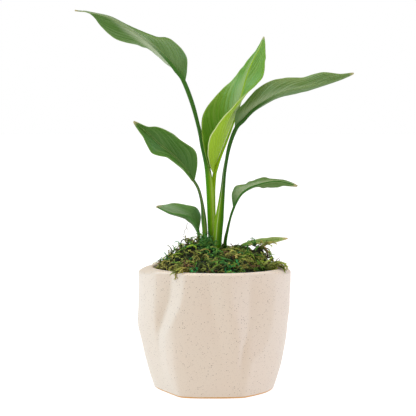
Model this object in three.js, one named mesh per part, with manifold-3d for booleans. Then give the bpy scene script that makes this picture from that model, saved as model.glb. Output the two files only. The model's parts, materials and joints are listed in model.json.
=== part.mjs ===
// A young bird of paradise plant (Strelitzia) in a hand-pinched, speckled stoneware pot.
// Millimetres, +Z up. The origin is the centre of the pot's foot, on the surface it stands on.
// -Y is the front. The plant is a fan of leaves, so most of them lie near the XZ plane.

import * as THREE from "three";
import { mergeVertices } from "three/addons/utils/BufferGeometryUtils.js";
import Module from "manifold-3d";

const wasm = await Module();
wasm.setup();

// ---- Driving dimensions -------------------------------------------------------------------

const potHeight = 122.3;
const potFootRadius = 55;
const potRimRadius = 73.2;
const potWall = 7;
const potFloor = 9;
const potFloorRounding = 4;
const potSegments = 96;
const mouthRadius = 65;
const mouthCentre = new THREE.Vector2(3.4, 0); // the mouth sits a little to the right in the pot
const mouthDepth = 14; // how far down the wall stays round
const mouthBlend = 30; // and from there, over what height it comes to follow the outer form
const lipWidth = [2.2, 13]; // of the rounded outer edge, in front and at the sides
const lipDrop = [1.7, 5.5]; // how far down that edge reaches there
const lipBluntness = 1.4; // 2 for a quarter of an ellipse, 1 for a straight bevel
const lipLand = 1.4; // the level part of the lip at its narrowest
const footRounding = 1.6;
const footRecess = 2;
const footRingWidth = 9;

const clearance = 0.4; // between pieces that touch
const sideGap = 0.8; // round the root ball and the moss, to the pot's wall
const soilTop = 108;
const soilFootInset = 4.5;

const mossEdgeHeight = 118.5;
const mossDomeHeight = 21;
const mossDomeExponent = 3.4;
const mossRightInset = 0.09; // the mound ends this share of its radius sooner on the right
const mossSegments = 36;
const mossRings = 12;
const mossRingCrowding = 0.8; // below 1, the rings lie closer towards the edge
const mossSeed = 11;
const strandCount = 96;
const strandReach = 0.97; // how far out strands stand, as a share of the mound's radius
const strandLength = [4, 7];
const strandSpread = [0.7, 1.5];
const strandThickness = [1, 1.7];
const strandTip = 0.25; // its thickness against the root's
const strandSweep = 1.7; // how far it arches over, in radians
const strandRootDepth = 2.5;
const goldenAngle = 2.39996;
const lowBladeMargin = 11; // no strand stands this near to the leaf that lies in the moss

const plantLift = 0.9; // the crown stands this much higher than the leaf points below say
const bladeHalfThickness = 0.4;
const bladeColumns = 8;
const bladeCamber = 0.1; // how far each half bellies down, as a share of its width
const stalkSides = 8;
const stalkRingsPerPoint = 1.5;
const stalkEnd = 0.97; // where the rod ends under the blade's tip, as a share of the spine
const sheathFlatness = 0.85; // a stalk is a little flatter from front to back
const ribSink = 0.95; // how much of its radius the rib lies below the blade
const ribTipRadius = 0.5;
const tipHalfWidth = 0.8;

// ---- Small tools --------------------------------------------------------------------------

const degrees = THREE.MathUtils.degToRad;
const { lerp, smoothstep } = THREE.MathUtils;

/** A smooth reading of a list of [position, value] pairs, level beyond its ends. */
function along(table, position) {
  const last = table.length - 1;
  if (position <= table[0][0]) return table[0][1];
  if (position >= table[last][0]) return table[last][1];
  const next = table.findIndex(([place]) => place > position);
  const slope = (low, high) => (table[high][1] - table[low][1]) / (table[high][0] - table[low][0]);
  const [lowPlace, lowValue] = table[next - 1];
  const [highPlace, highValue] = table[next];
  const span = highPlace - lowPlace;
  const leaving = slope(Math.max(next - 2, 0), next) * span;
  const arriving = slope(next - 1, Math.min(next + 1, last)) * span;
  const s = (position - lowPlace) / span;
  const rise = s * s * (3 - 2 * s);
  return lerp(lowValue, highValue, rise) + leaving * s * (1 - s) ** 2 - arriving * s * s * (1 - s);
}

/** A closed three.js geometry as a solid that can be joined and cut. */
function solidOf(geometry) {
  const bare = geometry.clone();
  bare.deleteAttribute("normal");
  bare.deleteAttribute("uv");
  const merged = mergeVertices(bare);
  const vertProperties = new Float32Array(merged.attributes.position.array);
  const triVerts = new Uint32Array(merged.index.array);
  return new wasm.Manifold(new wasm.Mesh({ numProp: 3, vertProperties, triVerts }));
}

/** A solid back as a three.js geometry. */
function geometryOf(solid) {
  const { vertProperties, triVerts } = solid.getMesh();
  const geometry = new THREE.BufferGeometry();
  geometry.setAttribute("position", new THREE.BufferAttribute(vertProperties, 3));
  geometry.setIndex(new THREE.BufferAttribute(triVerts, 1));
  geometry.computeVertexNormals();
  return geometry;
}

/** Moves every vertex of a geometry to the place that the rule gives for it. */
function reshape(geometry, rule) {
  const position = geometry.attributes.position;
  const point = new THREE.Vector3();
  for (let i = 0; i < position.count; i += 1) {
    point.fromBufferAttribute(position, i);
    rule(point);
    position.setXYZ(i, point.x, point.y, point.z);
  }
  return geometry;
}

/** Repeatable draws between 0 and 1. */
function seededDraws(seed) {
  let state = seed;
  return () => {
    state = (Math.imul(state, 1664525) + 1013904223) >>> 0;
    return state / 4294967296;
  };
}

// ---- Pot ----------------------------------------------------------------------------------

// The wall's radius by height, before its faces are pressed.
const wallRadius = [
  [0, potFootRadius], [17, 60.3], [33, 64.3], [50, 67.6], [66, 70], [86, 72.6], [potHeight, potRimRadius],
];

// The foot is pressed to a soft hexagon: its radius by azimuth, turning from the front to the right,
// against that of the round wall. The share of this form that is left higher up follows by height.
const footOutline = [
  [-180, 1.095], [-164, 1.124], [-150, 1.16], [-140, 1.12], [-121, 1.045], [-104, 1.064], [-93, 1.089],
  [-84, 1.071], [-76, 1.049], [-63, 1.027], [-52, 1.045], [-43, 1.084], [-37, 1.13], [-31, 1.173],
  [-25, 1.162], [-13, 1.118], [-3, 1.095], [8, 1.105], [20, 1.133], [27, 1.151], [34, 1.125], [46, 1.098],
  [66, 1.087], [84, 1.085], [93, 1.089], [106, 1.064], [121, 1.045], [140, 1.12], [150, 1.16],
  [164, 1.124], [180, 1.095],
];
const faceShare = [[0, 1], [35, 0.85], [65, 0.5], [90, 0.2], [potHeight, 0.08]];

// Lines down the wall at which its hand-pinched faces meet: azimuth by height, in degrees from the front
// to the right, and height out of the pressed round wall by height. The wall runs straight from line to
// line. The back repeats the front's lines, without the first and the last, which lie at the sides.
const wallLines = [
  { azimuth: [[0, -92]], rise: [[0, 0.4], [40, 1.2], [66, 4.2], [86, 2.2], [potHeight, 2.6]] },
  { azimuth: [[0, -58], [40, -55], [70, -50.5], [potHeight, -48.5]], // the crisp crease on the left
    rise: [[36, 0], [56, 1.6], [80, 3], [potHeight, 2.8]] },
  { azimuth: [[0, -52], [40, -52], [60, -49.5], [69, -47], [87, -40.5], [98, -37.5], [potHeight, -35]],
    rise: [[40, 0], [58, 0.4], [66, -1], [80, -3.4], [98, -4.6], [potHeight, -3.4]] }, // its hollow
  { azimuth: [ // the long ridge beside the front face
    [0, -32.5], [20, -38.5], [42, -39.5], [55, -38.5], [64, -36], [75, -31], [87, -26], [98, -23.5],
    [potHeight, -22.3],
  ], rise: [[0, 0], [20, 1.8], [42, 2.4], [70, 3.2], [98, 3.6], [potHeight, 2.2]] },
  { azimuth: [[0, 8], [42, 6], [55, 4], [64, 2.5], [87, -2], [98, -3.5], [potHeight, -4.5]],
    rise: [[20, 0], [60, -2.4], [98, -2.8], [potHeight, -1.8]] },
  { azimuth: [[0, 17], [45, 16.2], [64, 14.5], [87, 9.3], [100, 6.3], [potHeight, 5]],
    rise: [[20, 0], [60, 1.4], [98, 1.2], [potHeight, 0.8]] },
  { azimuth: [[0, 19], [50, 19], [72, 17.5], [87, 13.5], [98, 12], [potHeight, 11]],
    rise: [[20, 0], [60, 1.2], [98, 2], [potHeight, 1.4]] },
  { azimuth: [[0, 22], [36, 20], [50, 22], [65, 26], [98, 28.5], [potHeight, 28.5]], // the right hollow
    rise: [[15, 0], [50, -2.8], [80, -5], [98, -4.8], [potHeight, -2.4]] },
  { azimuth: [[0, 26], [27, 25.5], [41, 32], [52, 42], [65, 46], [98, 49.5], [potHeight, 51]],
    rise: [[0, 0.2], [27, 0.9], [65, 2.2], [98, 2.6], [potHeight, 2.2]] },
  { azimuth: [[0, 88]], rise: [[0, -0.4], [50, 0], [90, 1.4], [potHeight, 2.8]] },
];

/** The azimuth and rise of every line at a height, once round and one line over at each end. */
function linePlaces(height) {
  const front = wallLines.map(({ azimuth, rise }) => [along(azimuth, height), along(rise, height)]);
  const back = front.slice(1, -1).map(([azimuth, rise]) => [azimuth + 180, rise]);
  const ring = [...front, ...back];
  const [lastAzimuth, lastRise] = ring[ring.length - 1];
  const [firstAzimuth, firstRise] = ring[0];
  return [[lastAzimuth - 360, lastRise], ...ring, [firstAzimuth + 360, firstRise]];
}

/** How far the wall stands out of its pressed round form at an azimuth and a height. */
function foldRise(azimuth, height) {
  const places = linePlaces(height);
  const [start] = places[1];
  const turned = THREE.MathUtils.euclideanModulo(azimuth - start, 360) + start;
  const after = places.findIndex(([line], i) => i > 1 && line >= turned);
  const [[low, lowRise], [high, highRise]] = [places[after - 1], places[after]];
  return lerp(lowRise, highRise, (turned - low) / (high - low));
}

/** The wall's outer radius, without its rounded edges. */
function outerRadius(azimuth, height) {
  const pressed = along(footOutline, THREE.MathUtils.euclideanModulo(azimuth + 180, 360) - 180);
  const faced = lerp(1, pressed, along(faceShare, height));
  return along(wallRadius, height) * faced + foldRise(azimuth, height);
}

/** How much the rounded foot draws the wall in at a height. */
function footInset(height) {
  if (height >= footRounding) return 0;
  return footRounding - Math.sqrt(footRounding ** 2 - (footRounding - height) ** 2);
}

/** How much the rounded lip draws the wall in: further at the sides than in front. */
function lipInset(azimuth, height) {
  const side = smoothstep(Math.abs(Math.sin(degrees(azimuth))), 0.68, 0.98);
  const drop = lerp(...lipDrop, side);
  const above = THREE.MathUtils.clamp(1 - (potHeight - height) / drop, 0, 1);
  const room = outerRadius(azimuth, potHeight) - mouthReach(azimuth) - lipLand;
  return Math.min(lerp(...lipWidth, side), room) * (1 - (1 - above ** lipBluntness) ** (1 / lipBluntness));
}

/** Distance from the pot's axis to the round mouth's wall. */
function mouthReach(azimuth) {
  const direction = new THREE.Vector2(Math.sin(degrees(azimuth)), -Math.cos(degrees(azimuth)));
  const forward = direction.dot(mouthCentre);
  return forward + Math.sqrt(forward ** 2 - mouthCentre.lengthSq() + mouthRadius ** 2);
}

/** The inner wall: round at the mouth, and a wall's thickness inside the outer form below it. */
function innerRadius(azimuth, height) {
  const belowMouth = smoothstep(potHeight - mouthDepth - height, 0, mouthBlend);
  const follows = outerRadius(azimuth, height) - potWall;
  const round = mouthReach(azimuth);
  return Math.min(round, lerp(round, follows, belowMouth));
}

/** A closed body round the pot's axis, from a radius rule and the heights of its rings. */
function turnedBody(heights, segments, radiusRule) {
  const rings = heights.length - 1;
  const body = new THREE.CylinderGeometry(1, 1, 1, segments, rings);
  return reshape(body, (point) => {
    const height = heights[Math.round((point.y + 0.5) * rings)];
    const onAxis = Math.hypot(point.x, point.z) < 0.5;
    const azimuth = THREE.MathUtils.radToDeg(Math.atan2(point.x, point.z));
    const radius = onAxis ? 0 : radiusRule(azimuth, height);
    point.set(radius * Math.sin(degrees(azimuth)), -radius * Math.cos(degrees(azimuth)), height);
  });
}

function makePot() {
  const lipHeights = [potHeight - 5.5, 118.6, 120.4, 121.5, potHeight];
  const outerHeights = [0, 0.5, footRounding, 12, 24, 36, 46, 56, 66, 76, 86, 98, 108, ...lipHeights];
  const innerHeights = [potFloor, potFloor + 4, 40, 75, 98, soilTop, potHeight + 1];
  const outside = solidOf(turnedBody(outerHeights, potSegments, (azimuth, height) => {
    return outerRadius(azimuth, height) - footInset(height) - lipInset(azimuth, height);
  }));
  const inside = solidOf(turnedBody(innerHeights, potSegments, (azimuth, height) => {
    return innerRadius(azimuth, height) - (height === potFloor ? potFloorRounding : 0);
  }));
  const recess = solidOf(turnedBody([-1, footRecess], potSegments / 2, (azimuth) => {
    return outerRadius(azimuth, 0) - footRounding - footRingWidth;
  }));
  return geometryOf(outside.subtract(inside).subtract(recess));
}

// ---- Leaves -------------------------------------------------------------------------------

// Every leaf has the same build: a stalk out of the soil, a rib that carries on from it, and a thin
// blade between its two margins. A stalk point is [x, y, z, radius]. The midrib and both margins
// have one point each for the same places along the blade. Left and right are as seen from the
// blade's upper side with the tip ahead. fineness is the number of blade rows between two points.
const leaves = [
  {
    name: "leaf_tall_left", // the tallest, arching over to the left with its underside to the front
    stalk: [
      [-2.6, 0, 98, 3.3], [-2.8, 0, 140, 3.4], [-3.2, 0, 165, 3.8], [-3.9, 0.2, 187, 3.9],
      [-4.9, 1, 204, 3.75], [-6.5, 3.6, 217, 3.2], [-8.9, 6.6, 228, 2.5], [-12.2, 8.8, 242, 2.25],
      [-15.3, 9.4, 259, 2.2], [-22.3, 8.6, 284, 2.2],
    ],
    midrib: [
      [-31, 8, 306.5], [-38.5, 9, 318], [-45.5, 9, 326.5], [-59, 8, 340], [-71.5, 6, 349.5],
      [-89.5, 3, 361], [-105.5, 1, 369.3], [-123.5, 0, 373.6], [-138.5, 0, 375.8],
    ],
    left: [
      [-29, 8.5, 307.5], [-27.5, 12, 318.5], [-29, 13, 333], [-44, 17, 348.5], [-59.5, 18.5, 351.5],
      [-86.5, 18.5, 361], [-104.5, 12.5, 369.8], [-123.5, 3, 374], [-138.5, 0, 375.8],
    ],
    right: [
      [-32.5, 8.5, 307], [-41, 19.5, 319.5], [-49, 26, 325], [-63, 26, 337], [-74.5, 21.5, 342],
      [-98, 9, 348], [-112, 4, 359.5], [-123.5, 2, 373], [-138.5, 0, 375.8],
    ],
    colour: 0x58713d,
    fineness: 2,
  },
  {
    name: "leaf_centre", // the newest, light green, its right half still folded over at the bottom
    stalk: [
      [-0.6, 6.2, 98, 2.6], [-1, 6.4, 150, 2.5], [-1.2, 6.4, 182, 2.3], [-1.2, 6.2, 198, 2.2],
    ],
    midrib: [
      [-0.2, 5.4, 211.5], [1.6, 4.6, 224.5], [10.8, 5, 247.5], [19.2, 6, 269.5], [26.5, 7, 290.5],
      [31.5, 6, 309.5], [37.5, 4, 325.5], [44.5, 2, 338.5], [49, 0, 350],
    ],
    left: [
      [-0.6, 4.6, 213.5], [-7.4, -1.6, 227.5], [-12.3, 4, 251], [-11.5, 9, 273], [2, 18, 292.5],
      [19, 24, 309], [31.5, 18, 325], [42.5, 9, 338.5], [49, 0, 350],
    ],
    right: [
      [-2.4, 0.8, 216], [-6.5, -5, 231.5], [-5, -9, 249.5], [7, -15, 268.5], [26.5, -17, 289.5],
      [46, -11, 307.5], [50, -7, 326.5], [50, -3, 340.5], [49, 0, 350],
    ],
    colour: 0x759647,
    fineness: 2,
  },
  {
    name: "leaf_right", // arching over to the right, underside to the front
    stalk: [
      [2, -7.2, 98, 3.8], [2.6, -7.6, 140, 4.3], [3.5, -7.8, 157, 4.5], [4.5, -7.8, 168, 4.5],
      [6.3, -7.6, 183, 3.4], [8.4, -7.6, 201.5, 2.3], [10.1, -8, 218, 1.95], [14.2, -8, 240, 2],
    ],
    midrib: [
      [21, -8, 258.5], [28.5, -9, 268], [37.5, -10, 277.5], [49.5, -11, 285.5], [61.5, -12, 292],
      [76, -12, 296.7], [91.5, -12, 299.5], [110.5, -11, 304], [125.5, -10, 308.5], [137.5, -8, 313.5],
    ],
    left: [
      [21.5, -7, 258], [30, 1, 267], [39, 2, 276], [51, 4, 284], [63, 4, 290], [78, 2, 293.2],
      [92, 0, 296.5], [111, 1, 303.2], [126, -5, 308], [137.5, -8, 313.5],
    ],
    right: [
      [20, -8.5, 260.5], [21, -9.5, 275.5], [29, -7, 283.5], [40, -6, 296], [53.5, -6, 305],
      [70, -5, 309], [87, -5, 309.5], [107, -7, 314.5], [124, -7, 312.5], [137.5, -8, 313.5],
    ],
    colour: 0x6e8150,
    fineness: 2,
  },
  {
    name: "leaf_mid_left", // upper side to the front
    stalk: [
      [-9.5, -3, 98, 2.4], [-9.5, -3.6, 150, 2.5], [-10.5, -4.6, 167, 2.7], [-12.3, -6.2, 184, 1.65],
      [-15.8, -8, 198.5, 1.4],
    ],
    midrib: [
      [-21, -10, 208], [-27.5, -12, 218.5], [-35.5, -14, 227.5], [-44.5, -16, 236], [-53.5, -18, 243],
      [-63, -20, 252.5], [-71, -21, 259], [-79.5, -22, 266],
    ],
    left: [
      [-22, -10.5, 206.5], [-30, -25, 218], [-39, -31, 226], [-48, -33, 231.5], [-61, -31, 235],
      [-68, -30, 247.5], [-74.5, -26, 257.5], [-79.5, -22, 266],
    ],
    right: [
      [-19.5, -10.5, 209], [-17, -14, 223.5], [-19, -18, 237], [-31.5, -22, 246.5], [-42.5, -23, 254.7],
      [-54.5, -26, 260.2], [-66.5, -25, 261], [-79.5, -22, 266],
    ],
    colour: 0x406625,
    fineness: 2,
  },
  {
    name: "leaf_low_left",
    stalk: [
      [-14, 4, 98, 1.6], [-14.8, 5, 135, 1.6],
    ],
    midrib: [
      [-16.5, 6, 156], [-20, 6, 164], [-26, 6, 170.5], [-34.5, 5, 172.7], [-43.5, 4, 174.2],
      [-51.5, 3, 177.5], [-58.3, 2, 181],
    ],
    left: [
      [-15.5, 6.5, 157.5], [-14, 11, 170.5], [-18, 10, 179.2], [-28.5, 10, 182], [-39.5, 9, 184],
      [-48.5, 7, 182.5], [-58.3, 2, 181],
    ],
    right: [
      [-17.5, 6.5, 154.5], [-22.5, 12, 162], [-28, 15, 166.2], [-35.5, 15, 170], [-44.2, 13, 173],
      [-52, 8, 177], [-58.3, 2, 181],
    ],
    colour: 0x4f7a3c,
    fineness: 1,
  },
  {
    name: "leaf_low_right",
    stalk: [
      [8, -2, 98, 2], [10.2, -4, 142, 1.9], [12.9, -5, 158, 1.45], [15.8, -5.6, 170.5, 1.2],
    ],
    midrib: [
      [19.3, -6, 180.5], [22.3, -6.5, 187.5], [27, -7, 194.5], [33.5, -8, 199.5], [40.5, -9, 202.5],
      [49.5, -10, 205], [60.5, -10, 206.7], [71.5, -10, 205.3], [82.3, -9, 202],
    ],
    left: [
      [20, -5.5, 179.5], [23, -1, 187], [27.7, 0, 193.7], [34.5, 0, 198.5], [41.5, -1, 201],
      [50.5, -3, 200], [61, -4, 200.5], [71, -6, 202.2], [82.3, -9, 202],
    ],
    right: [
      [18.5, -5.5, 181.5], [17.4, -4, 192.5], [20.5, -4, 201.2], [29, -2, 203.3], [37, -2, 206.5],
      [47, -3, 210], [59.5, -3, 208.7], [71.5, -6, 207], [82.3, -9, 202],
    ],
    colour: 0x547236,
    fineness: 1,
  },
  {
    name: "leaf_in_moss", // low and pale, lying out over the moss behind
    stalk: [
      [8, 5, 98, 1.8], [12, 6.5, 122, 1.8],
    ],
    midrib: [
      [19.5, 8.5, 135], [28.5, 11, 141.5], [39, 13.5, 144.3], [50, 15, 145.5], [62, 16.5, 146.3],
      [74.5, 18, 147.6],
    ],
    left: [
      [20, 9.5, 135.5], [27, 16, 141], [37.5, 20, 145.2], [49.5, 21.5, 147.3], [61.5, 21, 148.6],
      [74.5, 18, 147.6],
    ],
    right: [
      [20, 7.5, 134.5], [30, 4.5, 141.3], [41, 6, 143], [52, 8, 143.6], [63.5, 12, 144.6],
      [74.5, 18, 147.6],
    ],
    colour: 0xa2ae72,
    fineness: 2,
    liesInMoss: true,
  },
];

/** A smooth curve through points, which runs evenly from point to point. */
function curveThrough(points) {
  const places = points.map(([x, y, z]) => new THREE.Vector3(x, y, z + plantLift));
  return new THREE.CatmullRomCurve3(places, false, "catmullrom", 0.5);
}

/** The curves of one leaf, and the rules that read them. */
function leafCurves(leaf) {
  const spine = curveThrough([...leaf.stalk, ...leaf.midrib]);
  const spans = leaf.stalk.length + leaf.midrib.length - 1;
  const bladeStart = leaf.stalk.length / spans;
  const left = curveThrough(leaf.left);
  const right = curveThrough(leaf.right);
  const ribPoint = (t) => spine.getPoint(lerp(bladeStart, 1, t));
  const ribTangent = (t) => spine.getTangent(Math.min(lerp(bladeStart, 1, t), 0.9999));
  /** The upper side's direction at the rib. */
  const upward = (t) => {
    const within = THREE.MathUtils.clamp(t, 0.06, 0.94);
    const across = right.getPoint(within).sub(left.getPoint(within));
    return across.cross(ribTangent(within)).normalize();
  };
  return { spine, bladeStart, left, right, ribPoint, ribTangent, upward };
}

/** A point of the blade: side runs from -1 at the left margin to 1 at the right, t from base to tip. */
function bladePoint(curves, side, t) {
  const share = Math.abs(side);
  const rib = curves.ribPoint(t);
  const margin = (side < 0 ? curves.left : curves.right).getPoint(t);
  const half = margin.clone().sub(rib);
  const tangent = curves.ribTangent(t);
  const halfNormal = side < 0 ? tangent.clone().cross(half) : half.clone().cross(tangent);
  const width = half.length();
  if (halfNormal.lengthSq() > 1e-9) halfNormal.normalize();
  const sideways = tangent.clone().cross(curves.upward(t)).normalize();
  return rib
    .addScaledVector(half, share)
    .addScaledVector(halfNormal, -bladeCamber * width * 4 * share * (1 - share))
    .addScaledVector(sideways, side * tipHalfWidth * smoothstep(t, 0.8, 1));
}

/** The direction square to the blade at a point of it, towards its upper side. */
function bladeNormal(curves, side, t) {
  const step = 0.01;
  const inward = side > 1 - step ? -1 : 1;
  const ahead = bladePoint(curves, side, Math.min(t + step, 1));
  const behind = bladePoint(curves, side, Math.max(t - step, 0));
  const beside = bladePoint(curves, side + inward * step, t);
  const across = beside.sub(bladePoint(curves, side, t)).multiplyScalar(inward);
  return across.cross(ahead.sub(behind)).normalize();
}

/** The blade as a thin closed sheet, its triangles split alike on both faces. Reach 1 is to the margins. */
function bladeGeometry(curves, rows, halfThickness, reach = 1) {
  const columns = bladeColumns;
  const sheet = new THREE.PlaneGeometry(2, 1, columns, rows);
  const flat = sheet.attributes.position;
  const corner = [];
  for (let i = 0; i < flat.count; i += 1) corner.push([reach * flat.getX(i), flat.getY(i) + 0.5]);
  const middle = corner.map(([side, t]) => bladePoint(curves, side, t));
  const normals = corner.map(([side, t]) => bladeNormal(curves, side, t));
  const upper = middle.map((point, i) => point.clone().addScaledVector(normals[i], halfThickness));
  const lower = middle.map((point, i) => point.clone().addScaledVector(normals[i], -halfThickness));
  const faces = Array.from(sheet.index.array);
  const index = [...faces];
  for (let i = 0; i < faces.length; i += 3) {
    index.push(faces[i] + flat.count, faces[i + 2] + flat.count, faces[i + 1] + flat.count);
  }
  const rimLoop = [];
  for (let c = 0; c < columns; c += 1) rimLoop.push(c);
  for (let r = 0; r < rows; r += 1) rimLoop.push(r * (columns + 1) + columns);
  for (let c = columns; c > 0; c -= 1) rimLoop.push(rows * (columns + 1) + c);
  for (let r = rows; r > 0; r -= 1) rimLoop.push(r * (columns + 1));
  rimLoop.forEach((here, i) => {
    const next = rimLoop[(i + 1) % rimLoop.length];
    index.push(here, next, next + flat.count, here, next + flat.count, here + flat.count);
  });
  const geometry = new THREE.BufferGeometry();
  const places = [...upper, ...lower].flatMap((point) => point.toArray());
  geometry.setAttribute("position", new THREE.Float32BufferAttribute(places, 3));
  geometry.setIndex(index);
  return geometry;
}

/** The stalk and rib as one tapering rod along the leaf's spine up to a share of it, swollen all round. */
function stalkGeometry(leaf, curves, swelling, end) {
  const radii = leaf.stalk.map(([, , , radius], i) => [i, radius]);
  const spans = leaf.stalk.length + leaf.midrib.length - 1;
  const topRadius = radii[radii.length - 1][1];
  const rings = Math.round(spans * stalkRingsPerPoint);
  const rod = new THREE.CylinderGeometry(1, 1, 1, stalkSides, rings);
  return reshape(rod, (point) => {
    const place = (point.y + 0.5) * end;
    const t = Math.max(0, (place - curves.bladeStart) / (1 - curves.bladeStart));
    const centre = curves.spine.getPoint(place);
    const tangent = curves.spine.getTangent(Math.min(place, 0.9999));
    const bare = t > 0 ? lerp(topRadius, ribTipRadius, t ** 0.7) : along(radii, place * spans);
    const radius = bare + swelling;
    const sunk = ribSink * bare * smoothstep(t, 0, 0.12);
    const across = new THREE.Vector3(0, 1, 0).cross(tangent).normalize();
    const depth = tangent.clone().cross(across);
    const [x, z] = [point.x, point.z];
    const flat = t > 0 ? 1 : sheathFlatness;
    point.copy(centre).addScaledVector(across, -x * radius).addScaledVector(depth, z * radius * flat);
    if (t > 0) point.addScaledVector(curves.upward(t), -sunk);
  });
}

/** How many rows of faces a leaf's blade has. */
function bladeRows(leaf) {
  return (leaf.midrib.length - 1) * leaf.fineness;
}

function makeLeaf(leaf) {
  const curves = leafCurves(leaf);
  const blade = solidOf(bladeGeometry(curves, bladeRows(leaf), bladeHalfThickness));
  const stalk = solidOf(stalkGeometry(leaf, curves, 0, stalkEnd));
  return stalk.add(blade);
}

/** The room that a leaf needs in soil and moss: its own shape, a clearance larger all round. */
function leafRoom(leaf) {
  const wide = 3 * clearance; // below the foot, and round a blade
  const [[footX, footY, footZ, footRadius], ...upper] = leaf.stalk;
  const curves = leafCurves({ ...leaf, stalk: [[footX, footY, footZ - wide, footRadius], ...upper] });
  const stalkRoomEnd = 0.99;
  if (!leaf.liesInMoss) return solidOf(stalkGeometry(leaf, curves, clearance, stalkRoomEnd));
  const bladeRoomReach = 1.25;
  const blade = bladeGeometry(curves, bladeRows(leaf), bladeHalfThickness + wide, bladeRoomReach);
  return solidOf(stalkGeometry(leaf, curves, wide, stalkRoomEnd)).add(solidOf(blade));
}

// ---- Soil and moss ------------------------------------------------------------------------

function makeSoil(rooms) {
  const heights = [potFloor + clearance, potFloor + 4 + clearance, 40, 75, 98, soilTop];
  const ball = solidOf(turnedBody(heights, potSegments, (azimuth, height) => {
    return innerRadius(azimuth, height) - (height < potFloor + 1 ? soilFootInset : sideGap);
  }));
  return rooms.reduce((soil, room) => soil.subtract(room), ball);
}

// Clumps that the moss was laid in: centre, height over the dome, and width.
const mossClumps = [
  { centre: [-8, -9], height: 12.5, width: 10.5 },
  { centre: [-27, 0], height: 11, width: 13 },
  { centre: [19, -5], height: 5, width: 5.5 },
  { centre: [46.5, 0], height: 12, width: 9 },
  { centre: [8, -36], height: 3, width: 12 },
  { centre: [-30, -34], height: -2, width: 12 },
  { centre: [30, -32], height: 2, width: 11 },
  { centre: [-10, 38], height: 5, width: 13 },
  { centre: [32, 34], height: 3, width: 12 },
];

/** The moss's upper surface over a place in the pot. */
function mossTop(x, y) {
  const away = new THREE.Vector2(x, y).sub(mouthCentre);
  const reach = away.length() / mouthRadius;
  const spread = 1 - mossRightInset * Math.max(0, away.x) / Math.max(away.length(), 1);
  const dome = mossDomeHeight * Math.max(0, 1 - (reach / spread) ** mossDomeExponent);
  const lumps = 1.1 * Math.sin(x * 0.31 + 1) * Math.cos(y * 0.27) + 0.9 * Math.sin(x * 0.17 - y * 0.4);
  const clumps = mossClumps.reduce((total, { centre: [clumpX, clumpY], height, width }) => {
    return total + height * Math.exp(-((x - clumpX) ** 2 + (y - clumpY) ** 2) / width ** 2);
  }, 0);
  return mossEdgeHeight + dome + (lumps + clumps) * smoothstep(1.02 - reach, 0, 0.3);
}

/** One moss frond: a thin three-sided horn that rises out of the mound and arches over. */
function strandGeometry(root, heading, spread, length, thickness) {
  const horn = new THREE.CylinderGeometry(strandTip, 1, 1, 3, 2);
  return reshape(horn, (point) => {
    const share = point.y + 0.5;
    const sweep = strandSweep * share;
    const outward = length * spread * (1 - Math.cos(sweep));
    const upward = length * Math.sin(sweep) - strandRootDepth;
    const sideways = point.x * thickness;
    const ahead = outward + point.z * thickness * Math.cos(sweep);
    point.set(
      root.x + ahead * Math.cos(heading) - sideways * Math.sin(heading),
      root.y + ahead * Math.sin(heading) + sideways * Math.cos(heading),
      root.z + upward - point.z * thickness * Math.sin(sweep),
    );
  });
}

function makeMoss(rooms) {
  const edgeRadius = mouthRadius - sideGap;
  const bottom = soilTop + clearance;
  const ball = new THREE.SphereGeometry(1, mossSegments, mossRings);
  const mound = reshape(ball, (point) => {
    const polar = Math.acos(THREE.MathUtils.clamp(point.y, -1, 1)) / (Math.PI / 2);
    const azimuth = Math.atan2(point.x, point.z);
    const below = polar > 1.001;
    const share = below ? 2 - polar : polar;
    const radius = edgeRadius * share ** mossRingCrowding;
    const x = mouthCentre.x + radius * Math.sin(azimuth);
    const y = mouthCentre.y - radius * Math.cos(azimuth);
    point.set(x, y, below ? bottom : mossTop(x, y));
  });
  const draw = seededDraws(mossSeed);
  const lowBlade = leafCurves(leaves.find((leaf) => leaf.liesInMoss)).spine.getPoints(24);
  let moss = solidOf(mound);
  for (let i = 0; i < strandCount; i += 1) {
    const heading = draw() * 2 * Math.PI;
    const reach = edgeRadius * strandReach * Math.sqrt((i + 0.5) / strandCount);
    const place = i * goldenAngle;
    const x = mouthCentre.x + reach * Math.cos(place);
    const y = mouthCentre.y + reach * Math.sin(place);
    const length = lerp(...strandLength, draw());
    const spread = lerp(...strandSpread, draw());
    const thickness = lerp(...strandThickness, draw());
    const lean = length * spread * (1 - Math.cos(strandSweep)) + thickness;
    const overRim = reach + lean * Math.cos(heading - place) > edgeRadius;
    const root = new THREE.Vector3(x, y, mossTop(x, y));
    if (lowBlade.some((rib) => Math.hypot(rib.x - x, rib.y - y) < lowBladeMargin)) continue;
    const turned = overRim ? heading + Math.PI : heading;
    moss = moss.add(solidOf(strandGeometry(root, turned, spread, length, thickness)));
  }
  return rooms.reduce((body, room) => body.subtract(room), moss);
}

// ---- The potted plant ---------------------------------------------------------------------

/** One named piece with its colour. */
function piece(name, geometry, color, roughness) {
  const material = new THREE.MeshStandardMaterial({ color, roughness, metalness: 0 });
  const mesh = new THREE.Mesh(geometry, material);
  mesh.name = name;
  return mesh;
}

const rooms = leaves.map(leafRoom);
const plant = new THREE.Group();
for (const leaf of leaves) plant.add(piece(leaf.name, geometryOf(makeLeaf(leaf)), leaf.colour, 0.45));

const pottedPlant = new THREE.Group();
pottedPlant.add(piece("pot", makePot(), 0xe3d7c6, 0.6));
pottedPlant.add(piece("soil", geometryOf(makeSoil(rooms)), 0x3a2a1c, 0.95));
pottedPlant.add(piece("moss", geometryOf(makeMoss(rooms)), 0x4f5e2c, 0.95));
pottedPlant.add(plant);

export default pottedPlant;
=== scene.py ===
"""A young bird of paradise plant in a hand-pinched, speckled stoneware pot that is topped with dry moss.

Everything is in metres, +Z up, with the pot's foot at the origin and the front towards -Y. Lists of
points are written in millimetres, as the plant was measured, and are turned to metres where they are read.
"""

from __future__ import annotations

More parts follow.
